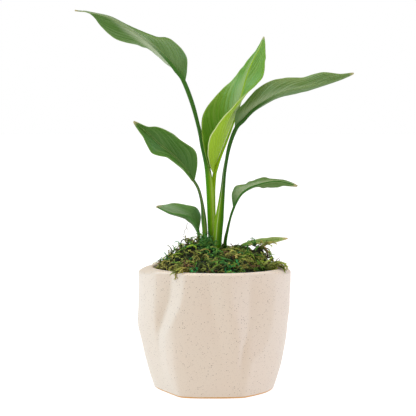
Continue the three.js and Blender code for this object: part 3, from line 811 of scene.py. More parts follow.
@dataclass(eq=False)
class StonewarePot:
    """The hand-pinched cover pot: a round mouth on a body that is pressed to a soft hexagon at its foot."""

    wall_radius: Table = (  # by height, before its faces are pressed
        (0, 55), (17, 60.3), (33, 64.3), (50, 67.6), (66, 70), (86, 72.6), (POT_HEIGHT, 73.2),
    )
    foot_outline: Table = (  # by azimuth, the foot's radius against that of the round wall
        (-180, 1.095), (-164, 1.124), (-150, 1.16), (-140, 1.12), (-121, 1.045), (-104, 1.064), (-93, 1.089),
        (-84, 1.071), (-76, 1.049), (-63, 1.027), (-52, 1.045), (-43, 1.084), (-37, 1.13), (-31, 1.173),
        (-25, 1.162), (-13, 1.118), (-3, 1.095), (8, 1.105), (20, 1.133), (27, 1.151), (34, 1.125),
        (46, 1.098), (66, 1.087), (84, 1.085), (93, 1.089), (106, 1.064), (121, 1.045), (140, 1.12),
        (150, 1.16), (164, 1.124), (180, 1.095),
    )
    # how much of the foot's form is left by height
    face_share: Table = ((0, 1), (35, 0.85), (65, 0.5), (90, 0.2), (POT_HEIGHT, 0.08))
    wall: float = 7  # this and what follows in millimetres
    floor: float = 9
    mouth_radius: float = 65
    mouth_centre: tuple[float, float] = (3.4, 0)
    mouth_depth: float = 14
    mouth_blend: float = 30
    lip_width: tuple[float, float] = (2.2, 13)  # of the rounded lip's outer edge, in front and at the sides
    lip_drop: tuple[float, float] = (1.7, 5.5)
    lip_bluntness: float = 1.4  # 2 for a quarter of an ellipse, 1 for a straight bevel
    lip_land: float = 1.4  # the level part of the lip at its narrowest
    mouth_rounding: float = 1.2
    foot_rounding: float = 1.6
    edge_softness: float = 1.1  # degrees over which the wall's lines are rounded
    foot_recess: float = 2
    foot_ring: float = 9
    foot_step: Table = ((1.2, 2), (0, 0.6), (-0.8, 0))  # down from the recess: inset past the ring, height
    finger_wave: float = 0.22  # how deep the fingers' dents are
    finger_start: tuple[float, float] = (4, 20)  # the heights over which they come in
    side_limits: tuple[float, float] = (0.68, 0.98)  # how far round the lip of the sides starts
    inner_heights: tuple[float, ...] = (118, 112, 104, 94, 84, 70, 55, 40, 26, 15)
    floor_rounding: float = 3
    centre_radius: float = 4  # of the flat face in the middle of the floor and of the underside
    columns: int = 320
    wall_rows: int = 84
    edge_rows: int = 6  # of a rounded edge; the lip has twice as many

    @lru_cache(maxsize=4096)
    def line_places(self, height: float) -> list[tuple[float, float]]:
        """The azimuth and the rise of each wall line at a height, once round and a little over.

        Args:
            height: the height in millimetres.

        Returns:
            The pairs, in rising order of azimuth.
        """
        front = [(along(line.azimuth, height), along(line.rise, height)) for line in WALL_LINES]
        back = [(azimuth + 180, rise) for azimuth, rise in front[1:-1]]
        ring = front + back
        return [(ring[-1][0] - 360, ring[-1][1]), *ring, (ring[0][0] + 360, ring[0][1])]

    def line_rise(self, azimuth: float, height: float) -> float:
        """How far the wall stands off the pressed round form, straight from one of its lines to the next.

        Args:
            azimuth: the angle from the front to the right, in degrees.
            height: the height in millimetres.

        Returns:
            The rise in millimetres.
        """
        places = self.line_places(height)
        turned = (azimuth - places[1][0]) % 360 + places[1][0]
        after = next(i for i in range(2, len(places)) if places[i][0] >= turned - 1e-9)
        (low, low_rise), (high, high_rise) = places[after - 1], places[after]
        return mix(low_rise, high_rise, clamp((turned - low) / max(high - low, 1e-6)))

    def fold_rise(self, azimuth: float, height: float) -> float:
        """The same with the lines a little rounded, as clay is."""
        taps = ((-2, 0.1), (-1, 0.24), (0, 0.32), (1, 0.24), (2, 0.1))
        return sum(share * self.line_rise(azimuth + k * self.edge_softness, height) for k, share in taps)

    def outer_radius(self, azimuth: float, height: float) -> float:
        """The wall's outer radius in millimetres, without its rounded edges.

        Args:
            azimuth: the angle from the front to the right, in degrees.
            height: the height in millimetres.

        Returns:
            The radius.
        """
        pressed = along(self.foot_outline, (azimuth + 180) % 360 - 180)
        faced = mix(1, pressed, along(self.face_share, height))
        angle = math.radians(azimuth)
        # dents that run slantwise round the wall
        hand = math.sin(5 * angle + height * 0.09) * math.sin(height * 0.13 + 2 * angle)
        uneven = self.finger_wave * hand * smooth(height, *self.finger_start)
        return along(self.wall_radius, height) * faced + self.fold_rise(azimuth, height) + uneven

    def mouth_reach(self, azimuth: float) -> float:
        """The distance from the pot's axis to the round mouth.

        Args:
            azimuth: the angle from the front to the right, in degrees.

        Returns:
            The distance in millimetres.
        """
        angle = math.radians(azimuth)
        forward = math.sin(angle) * self.mouth_centre[0] - math.cos(angle) * self.mouth_centre[1]
        centre_square = self.mouth_centre[0] ** 2 + self.mouth_centre[1] ** 2
        return forward + math.sqrt(forward**2 - centre_square + self.mouth_radius**2)

    def inner_radius(self, azimuth: float, height: float) -> float:
        """The inner wall: round at the mouth, and a wall's thickness inside the outer form below it.

        Args:
            azimuth: the angle from the front to the right, in degrees.
            height: the height in millimetres.

        Returns:
            Its radius in millimetres.
        """
        below = smooth(POT_HEIGHT - self.mouth_depth - height, 0, self.mouth_blend)
        around = self.mouth_reach(azimuth)
        return min(around, mix(around, self.outer_radius(azimuth, height) - self.wall, below))

    def lip_inset(self, azimuth: float, height: float) -> float:
        """How far the lip's rounded outer edge lies inside the wall: wider at the sides than in front.

        Args:
            azimuth: the angle from the front to the right, in degrees.
            height: the height in millimetres.

        Returns:
            The inset in millimetres.
        """
        side = smooth(abs(math.sin(math.radians(azimuth))), *self.side_limits)
        drop = mix(*self.lip_drop, side)
        above = clamp((height - (POT_HEIGHT - drop)) / drop)
        room = self.outer_radius(azimuth, POT_HEIGHT) - self.mouth_reach(azimuth) - self.lip_land
        share = 1 - (1 - above**self.lip_bluntness) ** (1 / self.lip_bluntness)
        return min(mix(*self.lip_width, side), room) * share

    def stations(self) -> list[tuple[RadiusRule, float]]:
        """The rings of the pot from its underside over the lip to its floor.

        Returns:
            For each ring, a rule that gives its radius from the azimuth, and its height.
        """
        rings: list[tuple[RadiusRule, float]] = [(lambda a: self.centre_radius, self.foot_recess)]
        step_in = self.foot_rounding + self.foot_ring
        for inset, height in self.foot_step:
            rings.append((lambda a, i=step_in + inset: self.outer_radius(a, 0) - i, height))
        quarter = [math.pi / 2 * k / self.edge_rows for k in range(self.edge_rows + 1)]
        for angle in quarter:
            inset = self.foot_rounding * (1 - math.sin(angle))
            height = self.foot_rounding * (1 - math.cos(angle))
            rings.append((lambda a, i=inset, h=height: self.outer_radius(a, h) - i, height))
        low, high = self.foot_rounding, POT_HEIGHT - max(self.lip_drop)
        for k in range(1, self.wall_rows + 1):
            height = mix(low, high, k / self.wall_rows)
            rings.append((lambda a, h=height: self.outer_radius(a, h), height))
        for k in range(1, 2 * self.edge_rows + 1):
            height = mix(high, POT_HEIGHT, math.sin(math.pi / 2 * k / (2 * self.edge_rows)))
            rings.append((lambda a, h=height: self.outer_radius(a, h) - self.lip_inset(a, h), height))
        for angle in quarter:
            inset = self.mouth_rounding * (1 - math.sin(angle))
            height = POT_HEIGHT - self.mouth_rounding * (1 - math.cos(angle))
            rings.append((lambda a, i=inset: self.mouth_reach(a) + i, height))
        for height in self.inner_heights:
            rings.append((lambda a, h=height: self.inner_radius(a, h), height))
        rings.append((lambda a: self.inner_radius(a, self.floor) - self.floor_rounding, self.floor))
        rings.append((lambda a: self.centre_radius, self.floor))
        return rings

    def build(self) -> bpy.types.Object:
        """The pot as one closed piece."""
        rings = self.stations()
        rows = len(rings) - 1

        def rule(turn: float, way: float) -> Vector:
            """A point of the pot's skin."""
            radius_rule, height = rings[round(way * rows)]
            azimuth = turn * 360 - 180
            radius = radius_rule(azimuth) * MM
            angle = math.radians(azimuth)
            return Vector((radius * math.sin(angle), -radius * math.cos(angle), height * MM))

        bm = wrapped_grid(self.columns, rows, rule, lambda turn, way: (turn, way))
        close_ends(bm)
        return add_piece(bm, "stoneware_pot", [SpeckledStoneware().material()], "stoneware", "pot")


# ---- Leaves -----------------------------------------------------------------------------------


@dataclass(frozen=True)
class LeafLines:
    """The lines that a leaf is drawn along, in millimetres.

    A stalk point is (x, y, z, radius). The midrib and both margins have one point each for the same
    places along the blade. Left and right are as seen from the upper side with the tip ahead.
    """

    stalk: tuple[tuple[float, float, float, float], ...]
    midrib: tuple[Point, ...]
    left: tuple[Point, ...]
    right: tuple[Point, ...]


@dataclass(frozen=True)
class BladeRow:
    """What one row across a blade is drawn from."""

    t: float
    rib: Vector
    heading: Vector
    upward: Vector
    left: Vector
    right: Vector


@dataclass
class Leaf:
    """One leaf: its stalk, its rib and its two-faced blade."""

    name: str
    lines: LeafLines
    upper: LeafSkin
    under: LeafSkin
    stalk_skin: StalkSkin
    slot: str
    channel: Point  # where the stalk's channel faces
    margin_wave: float = 0.25  # how far the margin ripples, in millimetres
    wave_length: float = 17.0  # in millimetres
    wave_start: tuple[float, float] = (0.62, 1.0)  # the shares from rib to margin over which it sets in
    wave_shift: float = 0.37  # of the left margin's ripple against the right's, in waves
    second_wave: tuple[float, float] = (0.6, 1.73)  # a finer ripple's height and number, against the first's

    plant_lift: float = 0.9  # of the whole plant, in millimetres
    camber: float = 0.1  # how far a half blade hollows between rib and margin, as a share of its width
    tip_half_width: float = 0.8  # in millimetres
    tip_start: float = 0.8  # the share of the blade's length from which the tip is kept so wide
    thickness: float = 0.55 * MM
    groove_depth: float = 0.5  # over the rib, in millimetres
    groove_width: float = 1.3 * MM
    pleat_depth: float = 0.16  # in millimetres
    pleat_spacing: float = 9.2 * MM
    pleat_lean: float = 58 * MM
    pleat_bend: float = 1.15
    # the shares over which the relief sets in from the stalk and from the tip, and the pleats from the rib
    # and from the margin
    base_ease: tuple[float, float] = (0.02, 0.16)
    tip_ease: tuple[float, float] = (0.03, 0.25)
    rib_ease: tuple[float, float] = (0.03, 0.25)
    margin_ease: tuple[float, float] = (0.02, 0.3)
    row_length: float = 1.1 * MM
    columns: int = 72

    rib_tip_radius: float = 0.5  # in millimetres
    rib_taper: float = 0.7
    rib_sink: float = 0.95  # how far the rib's middle lies below the blade, in its radii
    rib_end: float = 0.97  # the share of the spine at which the rib has sunk into the blade
    sheath_flatness: float = 0.85  # the stalk's depth as a share of its width
    channel_form: Point = (0.34, 0.0, 0.085)  # depth in radii, place and width as shares of the way round
    brim_form: Point = (0.07, 0.15, 0.04)  # the same for the raised brim at each side of the channel
    stalk_sides: int = 28
    stalk_step: float = 1.6 * MM

    @cached_property
    def spine(self) -> SmoothLine:
        """The line of the stalk and the midrib."""
        stalk = [point[:3] for point in self.lines.stalk]
        return SmoothLine.through([*stalk, *self.lines.midrib], self.plant_lift)

    @cached_property
    def spans(self) -> int:
        """How many spans the spine has."""
        return len(self.lines.stalk) + len(self.lines.midrib) - 1

    @cached_property
    def blade_start(self) -> float:
        """The share of the spine at which the blade starts."""
        return len(self.lines.stalk) / self.spans

    @cached_property
    def margins(self) -> tuple[SmoothLine, SmoothLine]:
        """The left and right margins."""
        left, right = self.lines.left, self.lines.right
        return SmoothLine.through(left, self.plant_lift), SmoothLine.through(right, self.plant_lift)

    def upward(self, t: float) -> Vector:
        """The direction of the blade's upper side at the rib.

        Args:
            t: the share of the blade's length.

        Returns:
            The direction, 1 long.
        """
        within = clamp(t, 0.06, 0.94)
        left, right = (margin.at(within) for margin in self.margins)
        heading = self.spine.heading(mix(self.blade_start, 1, within))
        return (right - left).cross(heading).normalized()

    def length(self, start: float, end: float) -> float:
        """The spine's length between two shares of it.

        Args:
            start: the first share.
            end: the second.

        Returns:
            The length in metres.
        """
        steps = 80
        places = [self.spine.at(mix(start, end, k / steps)) for k in range(steps + 1)]
        return sum((b - a).length for a, b in zip(places, places[1:]))

    def row(self, t: float) -> BladeRow:
        """The row across the blade at a share t of its length.

        Args:
            t: the share.

        Returns:
            What the row is drawn from.
        """
        place = mix(self.blade_start, 1, t)
        left, right = (margin.at(t) for margin in self.margins)
        return BladeRow(t, self.spine.at(place), self.spine.heading(place), self.upward(t), left, right)

    def blade_point(self, row: BladeRow, side: float, length: float) -> Vector:
        """A point of the blade's middle surface.

        Args:
            row: the row that it lies in.
            side: from -1 at the left margin to 1 at the right.
            length: the blade's length.

        Returns:
            The point, in metres.
        """
        share = abs(side)
        half = (row.left if side < 0 else row.right) - row.rib
        normal = row.heading.cross(half) if side < 0 else half.cross(row.heading)
        normal = normal.normalized() if normal.length > 1e-9 else row.upward
        sideways = row.heading.cross(row.upward).normalized()
        hollow = self.camber * half.length * 4 * share * (1 - share)
        relief = self.blade_relief(row.t, side, half.length, length) - hollow
        tip = side * self.tip_half_width * MM * smooth(row.t, self.tip_start, 1)
        return row.rib + half * share + normal * relief + sideways * tip

    def blade_relief(self, t: float, side: float, width: float, length: float) -> float:
        """How far the blade's pleats, ripples and groove lift a point, in metres.

        Args:
            t: the share of the blade's length at which it lies.
            side: from -1 at the left margin to 1 at the right.
            width: the half blade's width there.
            length: the blade's length.

        Returns:
            The rise towards the upper side.
        """
        share, forward = abs(side), t * length
        swell = smooth(t, *self.base_ease) * smooth(1 - t, *self.tip_ease)
        lean = self.pleat_lean * share**self.pleat_bend
        pleat = math.cos(2 * math.pi * (forward - lean) / self.pleat_spacing)
        inside = smooth(share, *self.rib_ease) * smooth(1 - share, *self.margin_ease)
        phase = 2 * math.pi * (forward / MM / self.wave_length + (self.wave_shift if side < 0 else 0))
        height, number = self.second_wave
        wave = math.sin(phase) + height * math.sin(phase * number + 1)
        ripple = self.margin_wave * wave * smooth(share, *self.wave_start)
        groove = self.groove_depth * math.exp(-((share * width / self.groove_width) ** 2))
        return (self.pleat_depth * pleat * inside + ripple - groove) * swell * MM

    def build_blade(self) -> bpy.types.Object:
        """The blade as a thin sheet with an upper and an under skin.

        Returns:
            The blade's piece.
        """
        length = self.length(self.blade_start, 1)
        rows = math.ceil(length / self.row_length)
        lines = [self.row(k / rows) for k in range(rows + 1)]
        bm = wrapped_grid(
            self.columns,
            rows,
            lambda side, t: self.blade_point(lines[round(t * rows)], 2 * side - 1, length),
            lambda side, t: (side, t * length),
        )
        faces = {"upper": self.upper, "under": self.under}
        skins = [skin.material(f"{self.name}_{face}", length) for face, skin in faces.items()]
        piece = add_piece(bm, f"{self.name}_blade", skins, self.slot, self.name)
        sheet = piece.modifiers.new("thickness", "SOLIDIFY")
        sheet.thickness = self.thickness
        sheet.offset = 0
        sheet.material_offset = 1
        sheet.material_offset_rim = 0
        return piece

    def stalk_radius(self, place: float) -> float:
        """The stalk's or the rib's radius at a share of the spine, in millimetres.

        Args:
            place: the share.

        Returns:
            The radius.
        """
        radii = [(k, point[3]) for k, point in enumerate(self.lines.stalk)]
        if place <= self.blade_start:
            return along(radii, place * self.spans)
        t = (place - self.blade_start) / (1 - self.blade_start)
        return mix(radii[-1][1], self.rib_tip_radius, t**self.rib_taper)

    def channelled(self, turn: float) -> float:
        """How deep the stalk's channel is at a share of the way round from its middle, in radii.

        Args:
            turn: the share, from 0 to 1.

        Returns:
            The depth, below 0 on the brims.
        """
        off = min(turn, 1 - turn)
        channel, brim = (
            depth * math.exp(-(((off - place) / width) ** 2))
            for depth, place, width in (self.channel_form, self.brim_form)
        )
        return channel - brim

    def build_stalk(self) -> bpy.types.Object:
        """The stalk and the rib as one tapering rod, channelled on the side that faces the crown.

        Returns:
            The rod's piece.
        """
        end, length = self.rib_end, self.length(0, self.rib_end)
        rows = math.ceil(length / self.stalk_step)
        inward = Vector(self.channel).normalized()
        crosses = []
        for k in range(rows + 1):
            place = end * k / rows
            t = max(0.0, (place - self.blade_start) / (1 - self.blade_start))
            heading = self.spine.heading(place)
            bare = self.stalk_radius(place) * MM
            turn = smooth(place, self.blade_start - 0.16, self.blade_start + 0.02)
            face = inward.lerp(self.upward(t), turn)
            face = (face - heading * face.dot(heading)).normalized()
            centre = self.spine.at(place)
            if t > 0:
                centre = centre - self.upward(t) * self.rib_sink * bare * smooth(t, 0, 0.12)
            crosses.append((centre, face, heading.cross(face), heading, bare, t))

        def rule(turn: float, way: float) -> Vector:
            """A point of the stalk's skin."""
            centre, face, side, heading, radius, t = crosses[round(way * rows)]
            angle = 2 * math.pi * turn
            channel = self.channelled(turn) * (1 - smooth(t, 0, 0.1))
            spoke = face * math.cos(angle) * (1 - channel) + side * math.sin(angle)
            depth = heading.cross(Vector((0, 1, 0)).cross(heading).normalized())
            flat = 1 - self.sheath_flatness if t <= 0 else 0.0
            spoke = spoke - depth * spoke.dot(depth) * flat
            return centre + spoke * radius

        bm = wrapped_grid(self.stalk_sides, rows, rule, lambda turn, way: (turn, way * length))
        close_ends(bm)
        skin = self.stalk_skin.material(f"{self.name}_stalk_skin", self.length(0, self.blade_start))
        return add_piece(bm, f"{self.name}_stalk", [skin], self.slot, self.name)

    def build(self) -> None:
        """Both pieces of the leaf."""
        self.build_blade()
        self.build_stalk()


def grown_leaves() -> list[Leaf]:
    """The plant's leaves, from the tallest to the one that lies in the moss."""
    return [
        Leaf(  # the tallest, arching over to the left with its underside to the front
            name="leaf_tall_left",
            lines=LeafLines(
                stalk=(
                    (-2.6, 0, 98, 3.3), (-2.8, 0, 140, 3.4), (-3.2, 0, 165, 3.8), (-3.9, 0.2, 187, 3.9),
                    (-4.9, 1, 204, 3.75), (-6.5, 3.6, 217, 3.2), (-8.9, 6.6, 228, 2.5),
                    (-12.2, 8.8, 242, 2.25), (-15.3, 9.4, 259, 2.2), (-22.3, 8.6, 284, 2.2),
                ),
                midrib=(
                    (-31, 8, 306.5), (-38.5, 9, 318), (-45.5, 9, 326.5), (-59, 8, 340), (-71.5, 6, 349.5),
                    (-89.5, 3, 361), (-105.5, 1, 369.3), (-123.5, 0, 373.6), (-138.5, 0, 375.8),
                ),
                left=(
                    (-29, 8.5, 307.5), (-27.5, 12, 318.5), (-29, 13, 333), (-44, 17, 348.5),
                    (-59.5, 18.5, 351.5), (-86.5, 18.5, 361), (-104.5, 12.5, 369.8), (-123.5, 3, 374),
                    (-138.5, 0, 375.8),
                ),
                right=(
                    (-32.5, 8.5, 307), (-41, 19.5, 319.5), (-49, 26, 325), (-63, 26, 337),
                    (-74.5, 21.5, 342), (-98, 9, 348), (-112, 4, 359.5), (-123.5, 2, 373),
                    (-138.5, 0, 375.8),
                ),
            ),
            upper=LeafSkin(green="#3d682a", light="#517c39", vein="#618744"),
            under=LeafSkin(
                green="#4e7529", light="#77935c", vein="#446a26", tip="#c9b795", tip_reach=15 * MM,
                # painted sheen, pale grey-green, over the right half near the stalk, and a lighter green
                # over the left half
                painted_light_bands=(PaintedLightBand("#aebb98", 1, 1.4, -0.55, 0.9), PaintedLightBand("#6b8850", -1, 0.9, 0.5)),
            ),
            stalk_skin=StalkSkin(
                "#3f6a26", "#528e04", "#98ba28", "#8a9c74", sheath_top=235 * MM, sheath_end=198 * MM,
            ),
            slot="leaf_mature",
            channel=(1, -0.35, 0),
        ),
        Leaf(  # the newest, light green, its right half still folded over at the bottom
            name="leaf_centre",
            lines=LeafLines(
                stalk=(
                    (-0.6, 6.2, 98, 2.6), (-1, 6.4, 150, 2.5), (-1.2, 6.4, 182, 2.3), (-1.2, 6.2, 198, 2.2),
                ),
                midrib=(
                    (-0.2, 5.4, 211.5), (1.6, 4.6, 224.5), (10.8, 5, 247.5), (19.2, 6, 269.5),
                    (26.5, 7, 290.5), (31.5, 6, 309.5), (37.5, 4, 325.5), (44.5, 2, 338.5), (49, 0, 350),
                ),
                left=(
                    (-0.6, 4.6, 213.5), (-7.4, -1.6, 227.5), (-12.3, 4, 251), (-11.5, 9, 273),
                    (2, 18, 292.5), (19, 24, 309), (31.5, 18, 325), (42.5, 9, 338.5), (49, 0, 350),
                ),
                right=(
                    (-2.4, 0.8, 216), (-6.5, -5, 231.5), (-5, -9, 249.5), (7, -15, 268.5),
                    (26.5, -17, 289.5), (46, -11, 307.5), (50, -7, 326.5), (50, -3, 340.5), (49, 0, 350),
                ),
            ),
            upper=LeafSkin(
                green="#5a8a14", light="#8fab52", vein="#6f9426", rib="#9eaf4b", margin="#7ea030",
                base="#4a8600", base_reach=80 * MM,
                # painted sheen over both halves, growing towards the tip, paler on the left
                painted_light_bands=(PaintedLightBand("#a6b77c", -1, -0.2, 0.8, 0.65), PaintedLightBand("#6d9638", 1, 0.0, 1.2, 0.7)),
            ),
            under=LeafSkin(
                green="#9fc31c", light="#aecf2a", vein="#709911", rib="#dfe6b4", margin="#dbe3a6",
                base="#9abb18", vein_strength=0.75,
            ),
            stalk_skin=StalkSkin("#86ad12", "#7ba408", edge="#c9d98a"),
            slot="leaf_young",
            channel=(0.3, -1, 0),
        ),
        Leaf(  # arching over to the right, underside to the front
            name="leaf_right",
            lines=LeafLines(
                stalk=(
                    (2, -7.2, 98, 3.8), (2.6, -7.6, 140, 4.3), (3.5, -7.8, 157, 4.5), (4.5, -7.8, 168, 4.5),
                    (6.3, -7.6, 183, 3.4), (8.4, -7.6, 201.5, 2.3), (10.1, -8, 218, 1.95),
                    (14.2, -8, 240, 2),
                ),
                midrib=(
                    (21, -8, 258.5), (28.5, -9, 268), (37.5, -10, 277.5), (49.5, -11, 285.5),
                    (61.5, -12, 292), (76, -12, 296.7), (91.5, -12, 299.5), (110.5, -11, 304),
                    (125.5, -10, 308.5), (137.5, -8, 313.5),
                ),
                left=(
                    (21.5, -7, 258), (30, 1, 267), (39, 2, 276), (51, 4, 284), (63, 4, 290), (78, 2, 293.2),
                    (92, 0, 296.5), (111, 1, 303.2), (126, -5, 308), (137.5, -8, 313.5),
                ),
                right=(
                    (20, -8.5, 260.5), (21, -9.5, 275.5), (29, -7, 283.5), (40, -6, 296), (53.5, -6, 305),
                    (70, -5, 309), (87, -5, 309.5), (107, -7, 314.5), (124, -7, 312.5), (137.5, -8, 313.5),
                ),
            ),
            upper=LeafSkin(green="#436f2e", light="#587f40", vein="#648a4c"),
            under=LeafSkin(
                green="#5d7a3e", light="#94a878", vein="#506e32", rib="#6d8a4a", base="#4f7234",
                # painted sheen over the right half near the stalk, and painted shade, a darker green, over
                # the left half
                painted_light_bands=(PaintedLightBand("#a0b086", 1, 0.6, -0.2, 0.7), PaintedLightBand("#47702c", -1, 1.1, 0.6, 0.9)),
            ),
            stalk_skin=StalkSkin(
                "#33591f", "#386a02", "#7a9c1c", "#6f8654", edge="#cdd8a8",
                sheath_top=212 * MM, sheath_end=176 * MM,
            ),
            slot="leaf_mature",
            channel=(-1, -0.45, 0),
        ),
        Leaf(  # at mid height, upper side to the front
            name="leaf_mid_left",
            lines=LeafLines(
                stalk=(
                    (-9.5, -3, 98, 2.4), (-9.5, -3.6, 150, 2.5), (-10.5, -4.6, 167, 2.7),
                    (-12.3, -6.2, 184, 1.65), (-15.8, -8, 198.5, 1.4),
                ),
                midrib=(
                    (-21, -10, 208), (-27.5, -12, 218.5), (-35.5, -14, 227.5), (-44.5, -16, 236),
                    (-53.5, -18, 243), (-63, -20, 252.5), (-71, -21, 259), (-79.5, -22, 266),
                ),
                left=(
                    (-22, -10.5, 206.5), (-30, -25, 218), (-39, -31, 226), (-48, -33, 231.5),
                    (-61, -31, 235), (-68, -30, 247.5), (-74.5, -26, 257.5), (-79.5, -22, 266),
                ),
                right=(
                    (-19.5, -10.5, 209), (-17, -14, 223.5), (-19, -18, 237), (-31.5, -22, 246.5),
                    (-42.5, -23, 254.7), (-54.5, -26, 260.2), (-66.5, -25, 261), (-79.5, -22, 266),
                ),
            ),
            upper=LeafSkin(
                green="#467424", light="#7a9c54", vein="#658c3c", rib="#7d9a50", vein_strength=0.4,
            ),
            under=LeafSkin(green="#597f3c", light="#6f904f", vein="#49722d"),
            stalk_skin=StalkSkin(
                "#42682a", "#5a8424", edge="#c2a878", sheath_top=175 * MM, sheath_end=155 * MM,
            ),
            slot="leaf_mature",
            channel=(1, -0.6, 0),
        ),
        Leaf(
            name="leaf_low_left",
            lines=LeafLines(
                stalk=((-14, 4, 98, 1.6), (-14.8, 5, 135, 1.6)),
                midrib=(
                    (-16.5, 6, 156), (-20, 6, 164), (-26, 6, 170.5), (-34.5, 5, 172.7), (-43.5, 4, 174.2),
                    (-51.5, 3, 177.5), (-58.3, 2, 181),
                ),
                left=(
                    (-15.5, 6.5, 157.5), (-14, 11, 170.5), (-18, 10, 179.2), (-28.5, 10, 182),
                    (-39.5, 9, 184), (-48.5, 7, 182.5), (-58.3, 2, 181),
                ),
                right=(
                    (-17.5, 6.5, 154.5), (-22.5, 12, 162), (-28, 15, 166.2), (-35.5, 15, 170),
                    (-44.2, 13, 173), (-52, 8, 177), (-58.3, 2, 181),
                ),
            ),
            upper=LeafSkin(green="#4a7731", light="#608b47", vein="#6f9554"),
            under=LeafSkin(
                green="#557f3a", light="#779b5c", vein="#507834", rib="#8aa05a",
                # painted sheen over both halves towards the tip
                painted_light_bands=(PaintedLightBand("#9ab087", -1, -0.5, 1.3, 0.7), PaintedLightBand("#9ab087", 1, -0.5, 1.3, 0.7)),
            ),
            stalk_skin=StalkSkin("#52803c", "#52803c"),
            slot="leaf_mature",
            channel=(1, 0, 0),
            margin_wave=0.3,
        ),
        Leaf(
            name="leaf_low_right",
            lines=LeafLines(
                stalk=(
                    (8, -2, 98, 2), (10.2, -4, 142, 1.9), (12.9, -5, 158, 1.45), (15.8, -5.6, 170.5, 1.2),
                ),
                midrib=(
                    (19.3, -6, 180.5), (22.3, -6.5, 187.5), (27, -7, 194.5), (33.5, -8, 199.5),
                    (40.5, -9, 202.5), (49.5, -10, 205), (60.5, -10, 206.7), (71.5, -10, 205.3),
                    (82.3, -9, 202),
                ),
                left=(
                    (20, -5.5, 179.5), (23, -1, 187), (27.7, 0, 193.7), (34.5, 0, 198.5), (41.5, -1, 201),
                    (50.5, -3, 200), (61, -4, 200.5), (71, -6, 202.2), (82.3, -9, 202),
                ),
                right=(
                    (18.5, -5.5, 181.5), (17.4, -4, 192.5), (20.5, -4, 201.2), (29, -2, 203.3),
                    (37, -2, 206.5), (47, -3, 210), (59.5, -3, 208.7), (71.5, -6, 207), (82.3, -9, 202),
                ),
            ),
            upper=LeafSkin(green="#457128", light="#5d853f", vein="#6b8e4b"),
            under=LeafSkin(
                green="#5a7d38", light="#93a877", vein="#4e722e", rib="#8fa468", base="#2f6a08",
                # painted sheen over the right half, from the stalk
                base_reach=22 * MM, painted_light_bands=(PaintedLightBand("#a6b58c", 1, 1.0, -0.1, 0.8),),
            ),
            stalk_skin=StalkSkin("#3f6c28", "#2a5e08"),
            slot="leaf_mature",
            channel=(-1, -0.3, 0),
            margin_wave=0.4,
            wave_length=13.0,
        ),
        Leaf(  # low and pale, lying out over the moss
            name="leaf_in_moss",
            lines=LeafLines(
                stalk=((8, 5, 98, 1.8), (12, 6.5, 122, 1.8)),
                midrib=(
                    (19.5, 8.5, 135), (28.5, 11, 141.5), (39, 13.5, 144.3), (50, 15, 145.5),
                    (62, 16.5, 146.3), (74.5, 18, 147.6),
                ),
                left=(
                    (20, 9.5, 135.5), (27, 16, 141), (37.5, 20, 145.2), (49.5, 21.5, 147.3),
                    (61.5, 21, 148.6), (74.5, 18, 147.6),
                ),
                right=(
                    (20, 7.5, 134.5), (30, 4.5, 141.3), (41, 6, 143), (52, 8, 143.6), (63.5, 12, 144.6),
                    (74.5, 18, 147.6),
                ),
            ),
            upper=LeafSkin(
                green="#8fa457", light="#a6b573", vein="#7f9648", rib="#bcc68c", base="#4f7a1e",
                base_reach=52 * MM, margin="#c3c88c", tip="#c2a878",
            ),
            under=LeafSkin(
                green="#9aab66", light="#acb87c", vein="#869a50", base="#557c26", base_reach=52 * MM,
                tip="#c2a878",
            ),
            stalk_skin=StalkSkin("#557c26", "#557c26"),
            slot="leaf_pale",
            channel=(-1, 0, 0),
            margin_wave=0.2,
        ),
    ]


# ---- Moss and soil ----------------------------------------------------------------------------


class MossTone(Enum):
    """The dyes of the moss, each with its light and dark colour and the share of all fronds that has it."""

    OLIVE = ("#aab350", "#5a651f", 0.38)
    DARK = ("#687a38", "#303e10", 0.15)
    KHAKI = ("#beb45a", "#787430", 0.18)
    FRESH = ("#80b03c", "#48762a", 0.14)
    FERN = ("#66a046", "#356a28", 0.05)
    EMERALD = ("#42aa58", "#1f7c3a", 0.02)
    LIME = ("#b2ce3e", "#7c9c30", 0.02)
    BROWN = ("#94704a", "#5a4028", 0.04)

    @property
    def finish(self) -> DriedMoss:
        """The dye as a finish."""
        return DriedMoss(light=self.value[0], dark=self.value[1])

    @property
    def share(self) -> float:
        """The share of the fronds that has this dye."""
        return self.value[2]


@dataclass(frozen=True)
class MossPatch:
    """A place in the mound where one dye prevails, in millimetres from the pot's axis."""

    centre: tuple[float, float]
    radius: float
    tone: MossTone


@dataclass(frozen=True)
class MossTuft:
    """Fronds that stand or hang out of the mound: their root, direction and length in millimetres."""

    root: Point
    heading: Point
    length: float
    tone: MossTone
    count: int = 1
    scatter: float = 0.0


@dataclass(frozen=True)
class Frond:
    """Where one frond lies: its root and length in millimetres, and where it runs and faces."""

    root: Vector
    heading: Vector
    upward: Vector
    length: float
    tone: MossTone
    kind: int  # which of the drawn sprigs it is

    def pose(self) -> Matrix:
        """What moves a sprig of unit length along +X to the frond's place."""
        side = self.upward.cross(self.heading).normalized()
        frame = Matrix((self.heading, side, self.heading.cross(side))).transposed().to_4x4()
        return Matrix.Translation(self.root * MM) @ frame @ Matrix.Scale(self.length * MM, 4)


